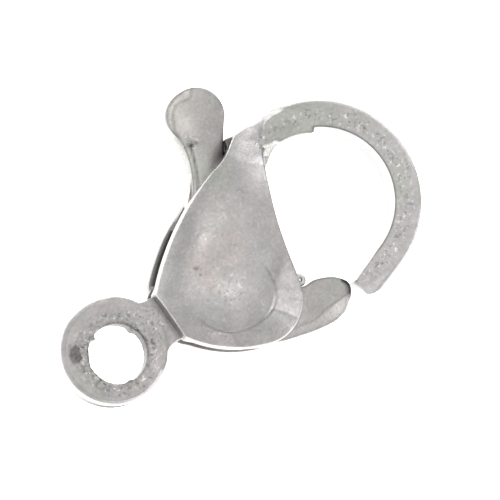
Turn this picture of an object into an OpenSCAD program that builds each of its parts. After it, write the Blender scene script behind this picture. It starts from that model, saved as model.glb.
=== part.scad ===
// Lobster clasp for a necklace or bracelet, cast in stainless steel.
// It lies flat: X runs from the tail ring to the hook, Y towards the thumb lever, and Z is its thickness.
// The origin is the middle of the tail ring's eye.

/* [Tail ring] */
// Bore of the eye that the jump ring passes through
eye_d = 2.2; // [1.8:0.05:2.4]
// Outside diameter of the tail ring
ring_d = 3.95; // [3.6:0.05:4.6]
// How far the eye lies off the ring's middle
eye_shift = 0.19; // [0:0.01:0.3]
// Thickness of the ring and of its neck
ring_t = 1.3; // [1.1:0.05:1.6]
// Bevel round the ring's outer edges
ring_bevel = 0.12; // [0.04:0.02:0.25]
// From the ring's edge to the end step of the cheeks
neck_l = 0.36; // [0.2:0.02:0.8]
// Width of the neck where it meets the cheeks
neck_w = 1.85; // [1.5:0.05:2.2]

/* [Cheeks] */
// Thickness over both crowns
body_t = 3.4; // [3:0.05:4]
// Height above the middle at which the crown would peak if it were not flattened
crown_h = 1.86; // [1.75:0.01:2.2]
// Radius of the crown across its ridge
crown_r = 5; // [4:0.1:7]
// Radius of the crown along its ridge
ridge_r = 22; // [14:1:40]
// Direction of the ridge, from the long axis
ridge_turn = 49; // [40:1:60]
// Radius of the round belly beside the gate
belly_r = 1.74; // [1.5:0.02:1.95]
// From the end step to the middle of the belly
belly_x = 2.95; // [2.7:0.05:3.3]
// From the clasp's axis down to the middle of the belly
belly_drop = 1.47; // [1.2:0.05:1.7]
// From the end step to the shoulder under the thumb lever
shoulder_x = 4.35; // [3.8:0.05:4.6]
// From the clasp's axis up to that shoulder
shoulder_y = 3.18; // [2.8:0.02:3.5]
// Thickness of the slot that the lever works in
slot_t = 0.9; // [0.7:0.05:1.1]

/* [Hook] */
// From the cheeks' end step to the middle of the hook
hook_reach = 7.05; // [6.7:0.05:7.8]
// Width of the space inside the hook
hook_gap_d = 5.36; // [4.8:0.05:5.8]
// Width of the hook's flat face
hook_face_w = 0.78; // [0.6:0.02:1.1]
// Thickness of the hook
hook_t = 1.9; // [1.5:0.05:2.2]
// How far the hook's outer wall swells out at mid thickness
hook_swell = 0.27; // [0.1:0.01:0.4]
// How far the root stands out past the hook's outer wall
root_flare = 0.26; // [0.1:0.01:0.4]
// Step where the filled corner of the root ends on the hook's inner wall
root_step = 0.2; // [0.08:0.02:0.26]
// Length of the straight stretch at the tip
tip_l = 1.65; // [1.3:0.05:1.8]

/* [Lever] */
// Diameter of the thumb pad
thumb_d = 2.14; // [1.8:0.02:2.6]
// Thickness of the thumb pad
thumb_t = 1.4; // [1.1:0.05:1.8]
// Bevel round the thumb pad's edges
thumb_bevel = 0.24; // [0.1:0.02:0.3]
// Gap between the thumb pad and the cheeks' notch
thumb_gap = 0.26; // [0.15:0.01:0.5]
// Lean of the stem away from the notch, in degrees
thumb_lean = 8.6; // [8:0.2:12]
// Width of the stem
stem_w = 1.76; // [1.4:0.02:1.8]
// Play between the lever and each wall of the slot
side_play = 0.03; // [0.02:0.01:0.08]
// Play between the stem and the web that stops it
stop_gap = 0.06; // [0.04:0.01:0.12]
// Gap between the gate's end and the hook's tip
gate_gap = 0.08; // [0.05:0.01:0.15]

/* [Pivot and spring] */
// Diameter of the rivet that the lever turns on
pin_d = 0.7; // [0.5:0.05:0.9]
// Depth of the rivet's seat in each cheek
pin_seat = 0.5; // [0.3:0.05:0.7]
// Radial play of the rivet in its seats
seat_play = 0.01; // [0.005:0.005:0.02]
// Radial play of the lever on the rivet
pin_play = 0.03; // [0.02:0.01:0.06]
// Diameter of the spring wire
wire_d = 0.2; // [0.16:0.01:0.22]
// Outside radius of the curl at the wire's end
curl_r = 0.25; // [0.22:0.01:0.3]

/* [Hidden] */

// Finest step of an arc in degrees, and the roundness of what is turned
arc_step = 7.5;
$fn = 120;
// Length that carries a cut well past the metal
past = 0.6;

function polar(r, a) = r * [cos(a), sin(a)];
function bearing(v) = atan2(v[1], v[0]);
function lay(p) = [p[0], p[1], 0];

// Points from p up to q, but not q itself, on an arc whose height is bulge times the chord.
// A positive bulge swells to the right of the way from p to q.
function arc_points(p, q, bulge) =
    let (chord = norm(q - p), along = (q - p) / chord, right = [along[1], -along[0]],
         half = 2 * atan(2 * bulge), steps = max(1, ceil(abs(2 * half) / arc_step)))
    abs(bulge) < 0.001 ? [p] :
    let (r = chord / (2 * sin(half)), mid = (p + q) / 2)
    [for (i = [0:steps - 1])
        let (a = -half + 2 * half * i / steps)
        mid + along * (r * sin(a)) + right * (r * (cos(a) - cos(half)))];

// A closed outline from rows of [corner, bulge of the edge that leaves it]
function outline(rows) =
    [for (i = [0:len(rows) - 1])
        each arc_points(rows[i][0], rows[(i + 1) % len(rows)][0], rows[i][1])];

// Bulge of an arc that turns through the given angle
function turn_bulge(a) = tan(a / 4) / 2;

// Tail ring: the eye is at the origin and the ring's middle lies off it
ring_c = polar(eye_shift, 115);
ring_r = ring_d / 2;
axis_y = ring_c[1];
cheek_x = ring_c[0] + ring_r + neck_l;

// Hook: its walls, seen in a cut across the band
hook_c = [cheek_x + hook_reach, axis_y];
hook_in_r = hook_gap_d / 2;
hook_face_r = hook_in_r + hook_face_w;
hook_out_r = hook_face_r + hook_swell;
hook_cut = [
    [hook_in_r, -hook_t / 2],
    [hook_face_r, -hook_t / 2],
    [hook_out_r, 0],
    [hook_face_r, hook_t / 2],
    [hook_in_r, hook_t / 2]];
// The band bends from the root to where its straight tip starts
root_a = 112;
tip_a = -72.4;
tip_way = polar(1, tip_a - 90);
tip_in = hook_c + polar(hook_in_r, tip_a) + tip_l * tip_way;

// Cheeks: corners of the outline
belly_c = [cheek_x + belly_x, axis_y - belly_drop];
belly_from = belly_c + polar(belly_r, -97);
belly_to = belly_c + polar(belly_r, -8);
root_in = hook_c + polar(hook_in_r, root_a - 5);
root_blend = hook_c + polar(hook_face_r, root_a - 26);
root_out = hook_c + polar(hook_out_r + root_flare, root_a - 3.5);
notch = hook_c + polar(hook_out_r + 0.7 * root_flare, root_a + 3);
root_low = hook_c + polar(hook_in_r - 1.6 * root_step, root_a - 3);
shoulder = [cheek_x + shoulder_x, axis_y + shoulder_y];
cheek_outline = outline([
    [[cheek_x, -neck_w / 2], 0.1],
    [belly_from, turn_bulge(89)],
    [belly_to, -0.045],
    [root_in, 0],
    [root_blend, 0.03],
    [root_out, 0],
    [notch, -0.06],
    [shoulder, 0.064],
    [[cheek_x, neck_w / 2], 0]]);
// The crown's ridge and the flank that trims it towards the neck
crown_c = belly_c + [-0.7, 0.65];
flank_c = belly_c + [0.9, 2.2];
flank_r = 9.6;
flank_h = crown_h + 0.2;

// Pivot and lever, measured from the pivot
pivot = belly_c + [-0.2, 0.45];
thumb_a = bearing(notch - pivot) + thumb_lean;
stem_way = polar(1, thumb_a);
stem_right = [stem_way[1], -stem_way[0]];
stem_edge = 0.375 * stem_w;
thumb_r = thumb_d / 2;
notch_r = norm(notch - pivot);
thumb_c = pivot + (notch_r + thumb_gap + thumb_r) * stem_way;
lever_t = slot_t - 2 * side_play;
function on_stem(along, side) = pivot + along * stem_way + side * stem_right;

// Gate: its reach stops short of the hook's tip, so its end clears the tip as it swings
gate_r = norm(tip_in - pivot) - gate_gap;
gate_a = bearing(tip_in - pivot);
function on_gate(turn, share) = pivot + polar(share * gate_r, gate_a + turn);
gate_root = on_gate(1.7, 0.61);
// Rows of [turn from the tip in degrees, share of the reach, bulge of the next edge]
gate_edge = [
    [-59.9, 0.547, 0.05],
    [-23.9, 0.846, 0.05],
    [-11.5, 1, turn_bulge(12.6)],
    [1.1, 1, 0.1],
    [4.9, 0.737, 0]];
hub_r = 1.75;
hub_left = pivot + polar(hub_r, 165);
shelf_end = pivot + polar(0.78 * hub_r, gate_a - 10);
web_corner = on_stem(0.85 * notch_r, stem_edge + stop_gap);

// Spring: wound round the rivet in a pocket of the lever, with a curl on the gate's root
spring_gap = 0.03;
wire_r = wire_d / 2;
coil_r = pin_d / 2 + wire_r + 0.1;
coil_pitch = wire_d * 1.1;
coil_z = lever_t / 2 - wire_r - spring_gap;
pocket_r = 0.71 * hub_r;
pocket_t = wire_d + coil_pitch + 2 * spring_gap;
curl_mid_r = curl_r - wire_r;
shelf_way = (shelf_end - gate_root) / norm(shelf_end - gate_root);
shelf_up = [shelf_way[1], -shelf_way[0]];
curl_c = gate_root + 0.2 * shelf_way + (curl_r + spring_gap) * shelf_up;
tail_a = bearing(curl_c - pivot) + acos((coil_r - curl_mid_r) / norm(curl_c - pivot));
rest_a = 100;
rest_l = hub_r + 0.15;
coil_turn = 360 + rest_a - tail_a;
coil_steps = ceil(coil_turn / 15);
curl_steps = 13;
spring_route = [
    for (i = [0:curl_steps])
        let (a = tail_a - 260 * (1 - i / curl_steps))
        lay(curl_c + polar(curl_mid_r, a)) + [0, 0, coil_z],
    for (i = [0:coil_steps])
        let (a = tail_a + coil_turn * i / coil_steps)
        lay(pivot + polar(coil_r, a)) + [0, 0, coil_z - coil_pitch * i / coil_steps],
    lay(pivot + polar(coil_r, rest_a) + polar(rest_l, rest_a + 90)) + [0, 0, coil_z - coil_pitch]];

// Body: tail ring, neck, two crowned cheeks and the hook, cast in one piece
module body() {
    color("#b4b2af") difference() {
        union() {
            tail_ring();
            neck();
            cheeks();
            hook_band();
            hook_root();
            hook_tip();
        }
        cylinder(h = ring_t + past, d = eye_d, center = true);
        lever_slot();
        translate(lay(pivot)) cylinder(h = slot_t + 2 * pin_seat, r = pin_d / 2 + seat_play, center = true);
    }
}

module tail_ring() {
    flat_r = ring_r - ring_bevel;
    side_z = ring_t / 2 - ring_bevel;
    translate(lay(ring_c)) rotate_extrude()
        polygon([[0, -ring_t / 2], [flat_r, -ring_t / 2], [ring_r, -side_z],
                 [ring_r, side_z], [flat_r, ring_t / 2], [0, ring_t / 2]]);
}

// The neck flares from the ring into a tongue that closes the slot's end
module neck() {
    linear_extrude(ring_t, center = true)
        polygon(outline([
            [ring_c + polar(ring_r - 0.02, -42), -0.16],
            [[cheek_x - 0.15, -neck_w / 2 + 0.05], 0],
            [[cheek_x + 0.1, -neck_w / 2], 0],
            [[cheek_x + 0.1, neck_w / 2], 0],
            [[cheek_x - 0.2, neck_w / 2 + 0.02], -0.16],
            [ring_c + polar(ring_r - 0.02, 46), 0]]));
}

module tongue() {
    translate([cheek_x - 1, -neck_w / 2]) square([1.6, neck_w]);
}

// Each crown is a barrel along the ridge, trimmed by a flatter ball towards the neck
module crown() {
    translate(lay(crown_c) + [0, 0, crown_h - crown_r])
        rotate([0, 0, ridge_turn]) rotate([0, 90, 0])
            rotate_extrude($fn = 240) intersection() {
                translate([crown_r - ridge_r, 0]) circle(ridge_r, $fn = 720);
                translate([0, -hook_reach]) square([crown_r, 2 * hook_reach]);
            }
}

module cheeks() {
    intersection() {
        linear_extrude(body_t, center = true) polygon(cheek_outline);
        crown();
        mirror([0, 0, 1]) crown();
        translate(lay(flank_c) + [0, 0, flank_h - flank_r]) sphere(flank_r, $fn = 240);
        translate(lay(flank_c) - [0, 0, flank_h - flank_r]) sphere(flank_r, $fn = 240);
    }
}

module hook_band() {
    translate(lay(hook_c)) rotate([0, 0, tip_a])
        rotate_extrude(angle = root_a - tip_a, $fn = 240) polygon(hook_cut);
}

// The corner between the cheeks and the hook is filled, up to a small step on the inner wall
module hook_root() {
    linear_extrude(hook_t, center = true)
        polygon(outline([
            [root_low, -0.06],
            [hook_c + polar(hook_in_r - 0.4 * root_step, root_a - 22), -0.07],
            [hook_c + polar(hook_in_r - root_step, root_a - 51), 0],
            [hook_c + polar(hook_in_r + 0.3, root_a - 54), turn_bulge(54)],
            [hook_c + polar(hook_in_r + 0.3, root_a), 0],
            [hook_c + polar(0.88 * hook_in_r, root_a + 16), 0]]));
}

// The straight tip, with its outer corner rounded off
module hook_tip() {
    tip_round = 0.35;
    translate(lay(hook_c)) rotate([0, 0, tip_a]) intersection() {
        rotate([90, 0, 0]) linear_extrude(tip_l) polygon(hook_cut);
        linear_extrude(hook_t, center = true)
            polygon([[hook_in_r, 0], [hook_in_r, -tip_l], [hook_out_r - tip_round, -tip_l],
                     [hook_out_r - 0.3 * tip_round, tip_round - tip_l],
                     [hook_out_r, -0.4 * tip_l], [hook_out_r, 0]]);
    }
}

// The slot is open on both flanks and round the belly, and shut by the tongue and by the web at the root
module lever_slot() {
    web_top = on_stem(notch_r + thumb_gap + thumb_r, stem_edge + stop_gap);
    root_side = root_low + polar(0.4, -40);
    low_y = belly_c[1] - belly_r - past;
    linear_extrude(slot_t, center = true) difference() {
        polygon([[cheek_x - 0.1, low_y], [belly_c[0], low_y], belly_c + polar(belly_r + past, -45),
                 belly_to + [past, 0], root_side, web_corner, web_top, [cheek_x - 0.1, web_top[1]]]);
        tongue();
    }
}

// Lever: thumb pad, stem, hub on the rivet, and the gate that shuts the hook
module lever() {
    color("#a9a7a4") difference() {
        union() {
            linear_extrude(lever_t, center = true) polygon(lever_outline());
            thumb_pad();
        }
        translate(lay(pivot)) cylinder(h = lever_t + past, r = pin_d / 2 + pin_play, center = true);
        spring_pocket();
    }
}

// The stem ends in a round plate inside the thumb pad
function lever_outline() = outline(concat(
    [[on_stem(notch_r - 0.35, stem_edge), 0],
     [thumb_c + polar(0.75 * thumb_r, thumb_a - 92), turn_bulge(210)],
     [thumb_c + polar(0.75 * thumb_r, thumb_a + 118), -0.1],
     [on_stem(0.69 * notch_r, stem_edge - stem_w), 0],
     [hub_left, 0.2]],
    [for (row = gate_edge) [on_gate(row[0], row[1]), row[2]]],
    [[gate_root, 0],
     [shelf_end, -0.1],
     [on_stem(0.6 * notch_r, stem_edge), 0]]));

module thumb_pad() {
    flat_r = thumb_r - thumb_bevel;
    side_z = thumb_t / 2 - thumb_bevel;
    translate(lay(thumb_c)) rotate_extrude()
        polygon([[0, -thumb_t / 2], [flat_r, -thumb_t / 2], [thumb_r, -side_z],
                 [thumb_r, side_z], [flat_r, thumb_t / 2], [0, thumb_t / 2]]);
}

// Room for the spring's two turns, and for the leg that reaches back to the tongue
module spring_pocket() {
    floor_z = lever_t / 2 - pocket_t;
    translate(lay(pivot) + [0, 0, floor_z]) cylinder(h = pocket_t + past, r = pocket_r);
    translate(lay(pivot + polar(coil_r, rest_a)) + [0, 0, floor_z]) rotate([0, 0, rest_a + 90])
        translate([0, -wire_d]) cube([hub_r + past, 2 * wire_d, pocket_t + past]);
}

module pivot_pin() {
    color("#9c9a98") translate(lay(pivot)) cylinder(h = slot_t + 2 * pin_seat, d = pin_d, center = true);
}

// Spring: a round wire swept along its route
module spring() {
    color("#c9c8c6") wire(spring_route, wire_r, 8);
}

module wire(route, r, sides) {
    last = len(route) - 1;
    rings = [for (i = [0:last])
        let (way = route[min(i + 1, last)] - route[max(i - 1, 0)],
             side = cross(way, [0, 0, 1]) / norm(cross(way, [0, 0, 1])),
             up = cross(side, way) / norm(cross(side, way)))
        for (k = [0:sides - 1]) route[i] + r * (cos(360 * k / sides) * side + sin(360 * k / sides) * up)];
    walls = [for (i = [0:last - 1], k = [0:sides - 1])
        let (a = i * sides + k, b = i * sides + (k + 1) % sides)
        [a, a + sides, b + sides, b]];
    caps = [[for (k = [0:sides - 1]) k], [for (k = [sides - 1:-1:0]) last * sides + k]];
    polyhedron(rings, concat(walls, caps));
}

body();
lever();
pivot_pin();
spring();
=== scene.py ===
# %% [markdown]
# # A cast steel lobster clasp
# A lobster clasp joins the two ends of a necklace. One casting carries the tail ring, two domed cheeks
# and a round hook. A cast lever turns on a rivet between the cheeks: the thumb pulls its pad back, and
# its other end, the gate, swings into the hook. A wire spring pushes the gate shut again.
# This lesson loads the clasp's CAD model as a fixed frame, and dresses it with detailed metal pieces.

# %% Load the frame
import math
import bpy
import numpy as np
from mathutils import Matrix, Vector, noise
from mathutils.geometry import delaunay_2d_cdt


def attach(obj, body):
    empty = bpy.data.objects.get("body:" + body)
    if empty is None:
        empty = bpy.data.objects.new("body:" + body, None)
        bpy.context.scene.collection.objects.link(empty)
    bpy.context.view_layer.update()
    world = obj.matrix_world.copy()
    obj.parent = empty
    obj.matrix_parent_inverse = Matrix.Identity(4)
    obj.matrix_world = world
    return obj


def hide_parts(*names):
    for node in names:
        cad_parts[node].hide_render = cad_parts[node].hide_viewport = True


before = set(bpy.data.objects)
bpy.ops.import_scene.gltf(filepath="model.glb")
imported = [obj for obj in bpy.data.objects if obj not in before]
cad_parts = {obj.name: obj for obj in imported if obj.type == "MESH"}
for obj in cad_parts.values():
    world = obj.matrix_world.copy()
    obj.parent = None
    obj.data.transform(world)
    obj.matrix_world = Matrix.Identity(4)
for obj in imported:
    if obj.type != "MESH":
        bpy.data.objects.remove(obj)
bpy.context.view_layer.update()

# %% [markdown]
# ## Sizes
# The clasp is only 15 mm long, so this file works in millimetres and turns to metres when it makes a
# mesh. X runs from the tail ring to the hook, Y towards the thumb pad, Z is the thickness. The origin is
# the middle of the eye. Angles are in degrees, from +X towards +Y. The sizes could be typed in wherever
# they are used, but as one list they keep the pieces in step: move the pivot, and gate and spring follow.

# %% Named sizes in millimetres
MM = 0.001


def polar(radius, angle):
    """A step of a length in the direction of an angle in degrees"""
    return radius * np.array([math.cos(math.radians(angle)), math.sin(math.radians(angle))])


def bearing(step):
    """The angle of a step in degrees"""
    return math.degrees(math.atan2(step[1], step[0]))


# the tail ring and its eye, then the cheeks and the slot between them
EYE_R = 1.1
RING_C = polar(0.19, 115)
RING_R = 1.975
RING_HALF = 0.65
AXIS_Y = RING_C[1]
CHEEK_X = RING_C[0] + RING_R + 0.36
NECK_W = 1.85
SLOT_HALF = 0.45
CROWN_TOP = 1.7
# the belly round the rivet, then the hook with its root and tip
BELLY_C = np.array([CHEEK_X + 2.95, AXIS_Y - 1.47])
BELLY_R = 1.74
PIVOT = BELLY_C + np.array([-0.2, 0.45])
HOOK_C = np.array([CHEEK_X + 7.05, AXIS_Y])
HOOK_IN_R = 2.68
HOOK_FACE_R = 3.46
HOOK_SWELL = 0.27
HOOK_OUT_R = HOOK_FACE_R + HOOK_SWELL
HOOK_HALF = 0.95
ROOT_A = 112
TIP_A = -72.4
TIP_L = 1.65
# the notch above the thumb's stem, the thumb pad and the lever
NOTCH = HOOK_C + polar(HOOK_OUT_R + 0.18, ROOT_A + 3)
THUMB_A = bearing(NOTCH - PIVOT) + 8.6
NOTCH_R = float(np.linalg.norm(NOTCH - PIVOT))
THUMB_R = 1.07
THUMB_C = PIVOT + polar(NOTCH_R + 0.26 + THUMB_R, THUMB_A)
STEM_EDGE = 0.66
STEM_W = 1.76
LEVER_HALF = 0.42
PIN_R = 0.35
print("pivot", PIVOT.round(3), "hook", HOOK_C.round(3), "thumb pad", THUMB_C.round(3))

# %% [markdown]
# ## Camera
# The photograph looks down on the clasp from almost straight above, through a long lens, with the
# clasp's long axis turned 36 degrees in the picture. The walls that show at its left edges say that the
# camera stands about 10 degrees towards the tail ring. An orthographic camera would do as well. Here a
# very long lens is used, which is a real camera's way to a picture with almost no perspective.

# %% The camera
TARGET = Vector((6.256, 0.238, 0.0)) * MM
TOWARDS_CAMERA = Vector((-0.184, 0.0096, 0.983)).normalized()
PICTURE_W = 18.116
IMAGE_UP = Vector((0.575, 0.811, 0.100))

camera_data = bpy.data.cameras.new("camera")
camera_data.lens = 1000
camera_data.sensor_width = 36
camera_distance = PICTURE_W * MM * camera_data.lens / camera_data.sensor_width
camera_data.clip_start = 0.01
camera_data.clip_end = 10
camera = bpy.data.objects.new("camera", camera_data)
bpy.context.scene.collection.objects.link(camera)
bpy.context.scene.camera = camera
camera.location = TARGET + TOWARDS_CAMERA * camera_distance
side = IMAGE_UP.cross(TOWARDS_CAMERA).normalized()
up = TOWARDS_CAMERA.cross(side)
turn = [[side[i], up[i], TOWARDS_CAMERA[i]] for i in range(3)]
camera.rotation_mode = "QUATERNION"
camera.rotation_quaternion = Matrix(turn).to_quaternion()
print("camera stands", round(camera_distance * 1000, 1), "mm away")

# %% [markdown]
# ## Node helper
# Every material and every node tree below is built with one small function, which adds a node, gives it
# its settings, and sets or joins its inputs. Colours are written as the usual hex values and turned to
# linear light, because that is what a renderer adds and multiplies.

# %% Helpers for nodes and colours
MATH = "ShaderNodeMath"
MAP = "ShaderNodeMapRange"
NOISE = "ShaderNodeTexNoise"


def add(tree, kind, inputs=None, **settings):
    """Adds a node. Each input is a value, a socket to join, or a node whose first output is joined."""
    node = tree.nodes.new(kind)
    for name, value in settings.items():
        setattr(node, name, value)
    for key, value in (inputs or {}).items():
        if isinstance(value, bpy.types.Node):
            value = value.outputs[0]
        if isinstance(value, bpy.types.NodeSocket):
            tree.links.new(value, node.inputs[key])
        else:
            node.inputs[key].default_value = value
    return node


def linear(hex_colour):
    """Turns an sRGB hex colour to linear light"""
    channels = [int(hex_colour[i:i + 2], 16) / 255 for i in (1, 3, 5)]
    return (*[c / 12.92 if c <= 0.04045 else ((c + 0.055) / 1.055) ** 2.4 for c in channels], 1.0)


def fill_ramp(ramp, stops):
    """Gives a colour ramp its stops, each as (place, colour)"""
    elements = ramp.color_ramp.elements
    while len(elements) < len(stops):
        elements.new(0.5)
    for element, (place, colour) in zip(elements, stops):
        element.position = place
        element.color = colour


def new_material(name):
    """A material with an empty node tree"""
    material = bpy.data.materials.new(name)
    material.use_nodes = True
    material.node_tree.nodes.clear()
    return material, material.node_tree


print("light steel grey is", [round(v, 3) for v in linear("#BEBCBB")], "in linear light")

# %% [markdown]
# ## The light tent
# The photograph looks as if it was taken in a white light tent. Walls of the clasp that look sideways
# mirror the white tent and burn out, while the faces that look at the camera mirror the greyer opening
# above them. Lamps alone would leave the steel black between their reflections. So the world itself is
# the tent: grey overhead, white all round, with a few bright panels and one black card.

# %% The tent as a world
scene = bpy.context.scene
scene.view_settings.view_transform = "Standard"
world = bpy.data.worlds.new("light tent")
scene.world = world
world.use_nodes = True
tent = world.node_tree
tent.nodes.clear()
direction = add(tent, "ShaderNodeTexCoord").outputs["Generated"]
height = add(tent, "ShaderNodeSeparateXYZ", {0: direction}).outputs["Z"]

# light by height, from 0 at the horizon to 1 straight above. A ramp's colours end at 1, so they are
# stored as a share of the tent's full strength.
TENT_FULL = 4.0
TENT_LIGHT = [
    (0.0, 2.4), (0.22, 1.6), (0.42, 0.85), (0.62, 0.60), (0.82, 0.66), (0.93, 0.92), (0.985, 1.04),
    (1.0, 1.04)]
tent_ramp = add(tent, "ShaderNodeValToRGB", {0: height})
fill_ramp(tent_ramp, [
    (place, (light / TENT_FULL, light / TENT_FULL * 0.998, light / TENT_FULL * 0.996, 1))
    for place, light in TENT_LIGHT])


def lobe(bearing_deg, rise, inner, outer, amount):
    """A soft patch of the tent round one direction: full up to an inner angle, gone at an outer one"""
    flat = math.cos(math.radians(rise))
    aim = (*(flat * polar(1, bearing_deg)), math.sin(math.radians(rise)))
    near = add(tent, "ShaderNodeVectorMath", {0: direction, 1: aim}, operation="DOT_PRODUCT")
    return add(tent, MAP, {
        0: near.outputs["Value"], "From Min": math.cos(math.radians(outer)),
        "From Max": math.cos(math.radians(inner)), "To Min": 0.0, "To Max": amount},
        interpolation_type="SMOOTHSTEP")


# bright panels, as (bearing, rise, full inside, gone outside, amount) with angles in degrees
PANELS = [(30, 36, 8, 26, 0.7), (-48, 24, 8, 22, 1.2), (150, 33, 8, 20, 0.4), (5, 35, 8, 20, 0.7)]
BLACK_CARD = (-30, -8, 20, 42, 0.85)
panels = lobe(*PANELS[0])
for row in PANELS[1:]:
    panels = add(tent, MATH, {0: panels, 1: lobe(*row)}, operation="ADD")
with_panels = add(tent, MATH, {0: panels, 1: 1.0}, operation="ADD")
# the card is low on the right and draws a dark line along the right edges
beside_card = add(tent, MATH, {0: 1.0, 1: lobe(*BLACK_CARD)}, operation="SUBTRACT")
strength = add(tent, MATH, {0: with_panels, 1: beside_card}, operation="MULTIPLY")
full_strength = add(tent, MATH, {0: strength, 1: TENT_FULL}, operation="MULTIPLY")
sky = add(tent, "ShaderNodeBackground", {"Color": tent_ramp, "Strength": full_strength})
add(tent, "ShaderNodeOutputWorld", {"Surface": sky})
print("tent with", len(PANELS), "panels and a black card")

# %% [markdown]
# ## The floor
# The clasp lies on white card, which the photograph shows as pure white, with a trace of grey only where
# the metal comes close. An even white floor could be had from very strong lamps, but they would spoil the
# metal. So the card glows by itself, and an ambient occlusion node dims it near the clasp.

# %% The floor
FLOOR_Z = -CROWN_TOP - 0.01
FLOOR_HALF = 600
floor_mesh = bpy.data.meshes.new("floor")
corners = np.array([(-1, -1), (1, -1), (1, 1), (-1, 1)]) * FLOOR_HALF
floor_mesh.from_pydata([(x * MM, y * MM, FLOOR_Z * MM) for x, y in corners], [], [(0, 1, 2, 3)])
floor = bpy.data.objects.new("floor", floor_mesh)
scene.collection.objects.link(floor)

# matt white card: it scatters light evenly, so the eye sees no gloss and no edge. It also glows by itself,
# and ambient occlusion dims the glow near the clasp, a painted soft shadow
paper, tree = new_material("matt white card")
open_sky = add(tree, "ShaderNodeAmbientOcclusion", {"Distance": 2.5 * MM}, samples=8).outputs["AO"]
glow_with_painted_shadow = add(tree, MATH, {0: open_sky, 1: 1.9}, operation="MULTIPLY")
card_surface = add(tree, "ShaderNodeBsdfPrincipled", {
    "Base Color": linear("#F4F4F3"), "Roughness": 0.9, "Emission Color": linear("#FFFFFF"),
    "Emission Strength": glow_with_painted_shadow})
add(tree, "ShaderNodeOutputMaterial", {"Surface": card_surface})
floor_mesh.materials.append(paper)
print("floor at", FLOOR_Z, "mm")

# %% [markdown]
# ## The lamp
# One warm lamp over the tent's opening gives the crown its sheen. A bright patch in the world could do it
# too, but light from a real distance changes across the metal, as it does in the photograph. The lamp is
# a wide disk, since a small one would leave hard glints.

# %% The lamp
# the place and the size are in metres
LAMP_PLACE = Vector((-0.002, 0.045, 0.195))
lamp_data = bpy.data.lights.new("soft top light", "AREA")
lamp_data.shape = "DISK"
lamp_data.size = 0.07
lamp_data.energy = 0.006
lamp_data.color = linear("#FFEBD6")[:3]
lamp = bpy.data.objects.new("soft top light", lamp_data)
scene.collection.objects.link(lamp)
lamp.location = LAMP_PLACE
lamp.rotation_mode = "QUATERNION"
lamp.rotation_quaternion = (LAMP_PLACE - TARGET).to_track_quat("Z", "Y")
print("one soft lamp,", round((LAMP_PLACE - TARGET).length * 1000), "mm away")

# %% [markdown]
# ## Steel
# The clasp is investment cast in stainless steel and tumbled with stones until it shines softly. Tumbling
# rounds the high places and leaves the hollows matt and slightly grey. One plain grey metal would look
# like plastic, so noise textures of real sizes vary its colour, roughness and bump. What belongs to one
# place, such as a stain, a painted shade or a painted highlight, comes later from two values stored on the
# mesh's points. The first darkens and dulls, as grime and as painted shade, and below 0 it lightens as a
# painted highlight. Grit brings pits and sparks.

# %% Cast steel material
# the noise textures, as (size in mm, detail, roughness). A ceramic shell's grit goes down to a few
# hundredths of a millimetre. The finest here is 0.05 mm, little more than a pixel, and what is finer is
# left to the roughness.
STEEL_NOISE = {
    "tint": (2.3, 1.5, 0.5), "blotch": (0.55, 3.0, 0.6), "grain": (0.11, 3.0, 0.65),
    "speck": (0.05, 2.0, 0.5), "pit": (0.13, 2.0, 0.5), "spark": (0.15, 2.0, 0.5), "wear": (1.6, 3.0, 0.5)}


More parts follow.
